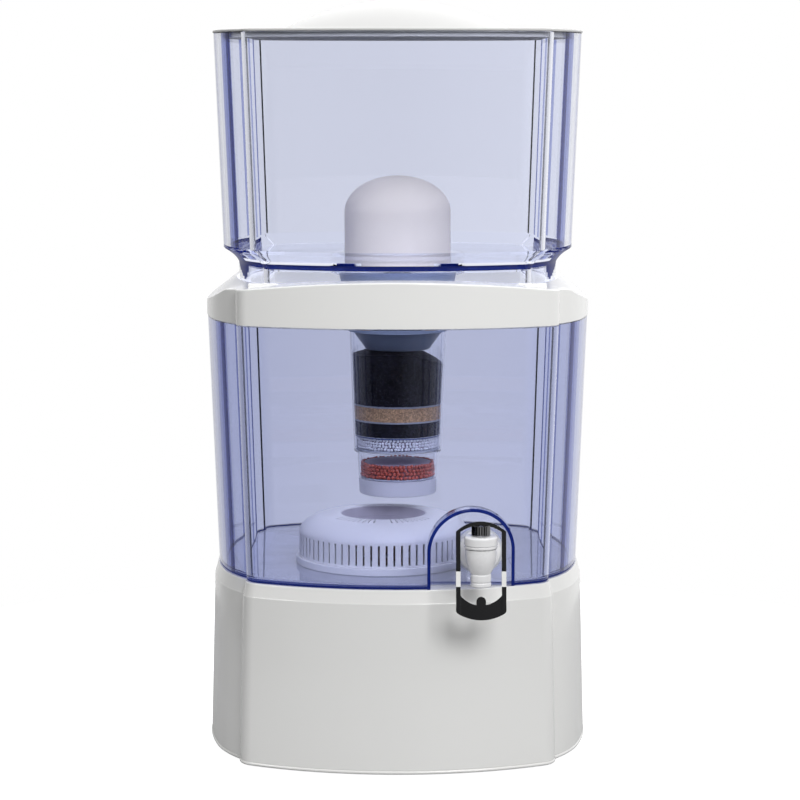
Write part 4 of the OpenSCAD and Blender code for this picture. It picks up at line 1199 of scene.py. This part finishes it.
# %% Tap body, nozzle and bonnet
TAP_X, SHANK_Z, REACH = 65.8, 180.0, 37.5
TAP_AT = mm(TAP_X, -172.0, 0) + AXIS
HERE = Vector((0, 0, 0))
tap_plastic = Paint("white_tap_plastic", base_color=(0.83, 0.83, 0.84), ior=1.47,
                    gloss=(0.24, 0.08, 90, 3), wave=(60, 2, 0.0001, 0.2))


def laid(piece):
    """Lays an upright piece down, so that its own height runs back along the shank."""
    piece.rotation_euler.x = -pi / 2
    piece.location = TAP_AT + mm(0, 0, SHANK_Z)
    return settle(piece)


bulb = [(7.7 + 4.6 * sin(pi / 2 * min(1, 1.25 * i / 24)) ** 0.85, 168 + 20 * i / 24)
        for i in range(25)]
tap = turned("tap_bulb", [(0, 168), *bulb, (11, 188), (11, 194.5), (10.7, 194.8), (0, 194.8)], TAP_AT)
carve(tap, laid(rod("shank", 8, 0, 56.5, HERE, 64, 0.4)), "UNION")
carve(tap, laid(rod("flange", 17, REACH - 5, REACH - 2, HERE, 96, 0.6)), "UNION")
carve(tap, rod("chamber", 9.2, 173, 196, TAP_AT))
carve(tap, rod("spout", 5, 167, 174, TAP_AT))
carve(tap, laid(rod("waterway", 5, 0, 60, HERE)))
dress(outward(tap), tap_plastic, 30, "lower_tank", "tap_plastic", "tap_body")

nozzle = turned("spout_ring", [
    (5.3, 168), (7.7, 168), (8.3, 167.2), (8.3, 162.5), *arc(8.3, 161.5, 0.75, 100, 260, 6),
    (8.3, 160.5), (8.3, 158.6), (7.7, 158), (5.3, 158), (5, 158.3), (5, 167.7)], TAP_AT)
dress(nozzle, tap_plastic, 35, "lower_tank", "tap_plastic", "tap_nozzle")

bonnet = turned("tap_cap", [
    (11.05, 188.7), (12.5, 188.7), (13.1, 189.2), (13.1, 190.3), *arc(13.1, 190.9, 0.55, 250, 110, 5),
    (13.4, 191.7), (13.4, 195.4), *arc(11.7, 196.5, 1.7, 10, 85, 6), (2.7, 198.2), (2.35, 197.9),
    (2.35, 195), (11.05, 195)], TAP_AT)
dress(bonnet, tap_plastic, 35, "lower_tank", "tap_plastic", "tap_bonnet")

# %% Washers and nut
SHANK_HOLE = 8.05
for name, low, node in (("outer_seal", REACH - 2, "tap_outer_washer"),
                        ("inner_seal", REACH + 4, "tap_inner_washer")):
    seal = turned(name, [(SHANK_HOLE, low), (18.7, low), (19, low + 0.4), (19, low + 1.6),
                         (18.7, low + 2), (SHANK_HOLE, low + 2)], HERE)
    dress(laid(seal), silicone, 40, "lower_tank", "silicone", node)

NUT = REACH + 6
knurled = turned("knurled_nut", [(SHANK_HOLE, NUT), (18, NUT), (18, NUT + 8.4), (17.4, NUT + 9),
                                 (SHANK_HOLE, NUT + 9)], HERE, 128)
carve(knurled, dealt(rod("scallop", 2, NUT - 1, NUT + 11, mm(18.6, 0, 0), 20), 16, HERE))
laid(soften(outward(knurled), 0.3 * MM, 2, 35))
dress(knurled, satin, 35, "lower_tank", "white_plastic", "tap_nut")

# %% [markdown]
# ## The lever
#
# A chromed frame hangs from a fluted hub and carries a push paddle, set back between its arms.
# The frame's outline is filled and extruded, the window is cut out, and a bevel rounds the edges
# so that they catch the light. The short white bands half way down the arms are painted
# reflections: non-metal and rougher, where the arms' bend would mirror white.

# %% The lever
PIN_Z, TILT = 203.0, radians(13)
HALF_OUT, HALF_IN, LENGTH, TOP, DROP, DEPTH = 19.8, 16.2, 71.0, 6.6, 8.0, 5.0
BOW = HALF_OUT ** 2 / (2 * DROP) + DROP / 2
PADDLE_R, PADDLE_H, DIP, TONGUE = 35.67, 19.5, 7.8, 3.8
DIP_R = (HALF_IN ** 2 + DIP ** 2) / (2 * DIP)


def curve(radius, centre, first, last, steps, up=1):
    """Points of a wide arc above or below its centre, between two distances from the middle."""
    across = [first + (last - first) * i / steps for i in range(steps + 1)]
    return [(x, centre + up * sqrt(radius ** 2 - x ** 2)) for x in across]


def slab(name, outline, front, back):
    """Upright slab of an outline of (across, up) in millimetres, hanging from the pin."""
    return prism(name, [mm(x, front, z) for x, z in outline], (0, (back - front) * MM, 0))


arm_foot = PADDLE_R - LENGTH - sqrt(PADDLE_R ** 2 - HALF_OUT ** 2)
lever = slab("push_lever", [
    *curve(BOW, TOP - BOW, -HALF_OUT, HALF_OUT, 32),
    (HALF_OUT, arm_foot + 1.2), (HALF_OUT - 0.3, arm_foot + 0.3),
    *curve(PADDLE_R, PADDLE_R - LENGTH, HALF_OUT - 1.2, 1.2 - HALF_OUT, 32, -1),
    (0.3 - HALF_OUT, arm_foot + 0.3), (-HALF_OUT, arm_foot + 1.2)], -DEPTH / 2, DEPTH / 2)
paddle_top = PADDLE_H - LENGTH
inner_top, dip_centre, tongue_z = TOP - 3.24 - BOW, paddle_top - DIP + DIP_R, paddle_top - 1 - TONGUE
window = slab("window", [
    *curve(BOW, inner_top, -HALF_IN, HALF_IN, 32),
    *curve(DIP_R, dip_centre, HALF_IN, TONGUE, 12, -1),
    *arc(0, tongue_z, TONGUE, 0, 180, 16),
    *curve(DIP_R, dip_centre, -TONGUE, -HALF_IN, 12, -1)], -DEPTH, DEPTH)
carve(lever, window)
for front, back in ((-DEPTH, 1 - DEPTH / 2), (3.4 - DEPTH / 2, DEPTH)):
    carve(lever, slab("recess", [(-HALF_IN, -LENGTH - 1), (HALF_IN, -LENGTH - 1), (HALF_IN, paddle_top),
                                 (-HALF_IN, paddle_top)], front, back))
pin_at = TAP_AT + mm(0, 0, PIN_Z)
lever.data.transform(Matrix.Translation(pin_at) @ Matrix.Rotation(-TILT, 4, "X"))
soften(outward(lever), 0.45 * MM, 3, 35)

FLUTES, FLUTE_R, HUB_Z, HUB_H = 22, 0.3, 198.4, 8.3
flutes = [(7.2 + FLUTE_R * cos(a * FLUTES), a) for a in circle(FLUTES * 8)]
fluted = [TAP_AT + mm(r * cos(a), r * sin(a), HUB_Z) for r, a in flutes]
carve(lever, prism("hub", fluted, (0, 0, HUB_H * MM)), "UNION")
carve(lever, rod("hub_bore", 5.7, HUB_Z - 1, HUB_Z + HUB_H + 0.1, TAP_AT, 48))
chrome = Paint("chrome_plate", ior=1.5, wave=(60, 1, 0.0002, 0.08))
across = chrome.along(0) - TAP_X
across = across.maths("ABSOLUTE", across, 0)
# Painted reflection: a white band on each arm where the chrome would mirror white.
painted_reflection_band = chrome.between(chrome.along(2), 159.9, 171.7) * chrome.between(across, HALF_IN - 0.4, 30)
chrome.set(base_color=chrome.choose(painted_reflection_band, (0.40, 0.40, 0.42), (0.80, 0.80, 0.79)),
           metallic=1 - painted_reflection_band,
           roughness=0.05 + 0.04 * chrome.noise(120, 3) + 0.2 * painted_reflection_band)
dress(outward(lever), chrome, 35, "lever", "chrome_lever", "tap_lever")

# %% [markdown]
# The valve's spring sits between its seat and the bonnet. It rides with the valve.

# %% Steel parts inside the tap
steel = Paint("bright_steel", base_color=(0.58, 0.58, 0.6), metallic=1.0, gloss=(0.22, 0.12, 400, 2))
steel.on("valve_rod", "lever_pin")
silicone.on("valve_seat")

WIRE_R, COILS, VALVE_RISE = 0.45 * MM, 6, 3.0
coil_low, coil_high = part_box("valve_spring")
coil_foot = Vector((*((coil_low + coil_high) / 2).xy, coil_low.z))
coil_h = coil_high.z - coil_low.z
start()
bpy.ops.mesh.primitive_circle_add(vertices=12, radius=WIRE_R, rotation=(pi / 2, 0, 0),
                                  location=(coil_high.x - coil_foot.x - WIRE_R, 0, 0))
coil = settle(named("valve_coil"))
apply(coil, "SCREW", axis="Z", angle=2 * pi, iterations=COILS, steps=32, render_steps=32,
      screw_offset=(coil_h - 2 * WIRE_R) / COILS)
coil.location = coil_foot + Vector((0, 0, WIRE_R))
settle(coil)
with edit():
    bpy.ops.mesh.select_mode(type="EDGE")
    close_holes()
    bpy.ops.mesh.select_mode(type="VERT")
dress(outward(coil), steel, 50, "valve", "steel", "valve_spring")
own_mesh(coil)

# %% [markdown]
# ## The studio
#
# A pale floor runs out into a white background, so no horizon shows. A large soft light stands to
# the right of the camera and high up, others to the left, above and behind.

# %% Floor
FLOOR_REACH = 0.62
start()
bpy.ops.mesh.primitive_circle_add(vertices=96, radius=FLOOR_REACH, fill_type="NGON",
                                  location=(0, 0.05, 0))
floor = settle(named("studio_floor"))
floor_paint = Paint("studio_floor_paint", base_color=(0.28, 0.28, 0.285), roughness=0.45,
                    emission_color=(1, 1, 1))
seen = floor_paint.node("LightPath", out="Is Camera Ray")
floor_paint.set(emission_strength=0.05 + 0.9 * seen)
floor_paint.on(floor)
floor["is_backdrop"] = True


# %% Lights
def softbox(name, place, width, height, power, target=(0, 0, 0.3)):
    """A soft lamp that isn't seen through the tanks, only in what they mirror."""
    light = bpy.data.lights.new(name, "AREA")
    light.shape, light.size, light.size_y, light.energy = "RECTANGLE", width, height, power
    box = bpy.data.objects.new(name, light)
    box.location = place
    box.rotation_euler = (Vector(target) - Vector(place)).to_track_quat("-Z", "Y").to_euler()
    box.visible_transmission = False
    bpy.context.scene.collection.objects.link(box)


softbox("key", (0.9, -2.1, 1.75), 1.2, 1.0, 44)
softbox("left", (-1.6, -1.2, 1.5), 0.9, 0.9, 15)
softbox("top", (0, 0.1, 2.2), 1.6, 1.6, 7)
softbox("back", (0.2, 1.6, 1.5), 1.8, 1.2, 16)

# %% [markdown]
# The world is white to the camera and a soft gradient to everything else: dark in front, because
# chrome and clear plastic need something dark to mirror, and light behind, above and to the right.
# What is seen through the plastic gets a gradient of its own, lighter still towards the top.

# %% World
world = bpy.data.worlds.new("studio")
world.use_nodes = True
air = Network(world.node_tree)
direction = air.node("TexCoord", out="Generated")
sides, depth, up = (air.node("SeparateXYZ", None, {0: direction}, k) for k in range(3))


def by_depth(*levels):
    """Grey levels of (place, value) from the front to the back."""
    return air.ramp(0.5 * depth + 0.5, *[(place, (v, v, v)) for place, v in levels])


above = up.maths("MAXIMUM", up - 0.35, 0.0)
light = by_depth((0.0, 0.03), (0.45, 0.16), (0.7, 0.36), (0.86, 0.75), (0.95, 0.93))
light = light + 0.35 * sides + 0.9 * above
light = light.maths("MINIMUM", light, 1.0)
room = by_depth((0.0, 0.04), (0.25, 0.12), (0.5, 0.6), (0.9, 0.9)) * (1 + 1.3 * up)
light = light.maths("MAXIMUM", light, room * air.node("LightPath", out="Is Transmission Ray"))
light = light.maths("MAXIMUM", light, air.node("LightPath", out="Is Camera Ray"))
air.plug(world.node_tree.nodes["Background"].inputs["Color"], (1, 1, 1, 1))
air.plug(world.node_tree.nodes["Background"].inputs["Strength"], light)
bpy.context.scene.world = world
bpy.context.scene.view_settings.view_transform = "Standard"

# %% Sizes and finish
low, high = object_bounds()
print("visual box:", [round(v, 4) for v in (*low, *high)])
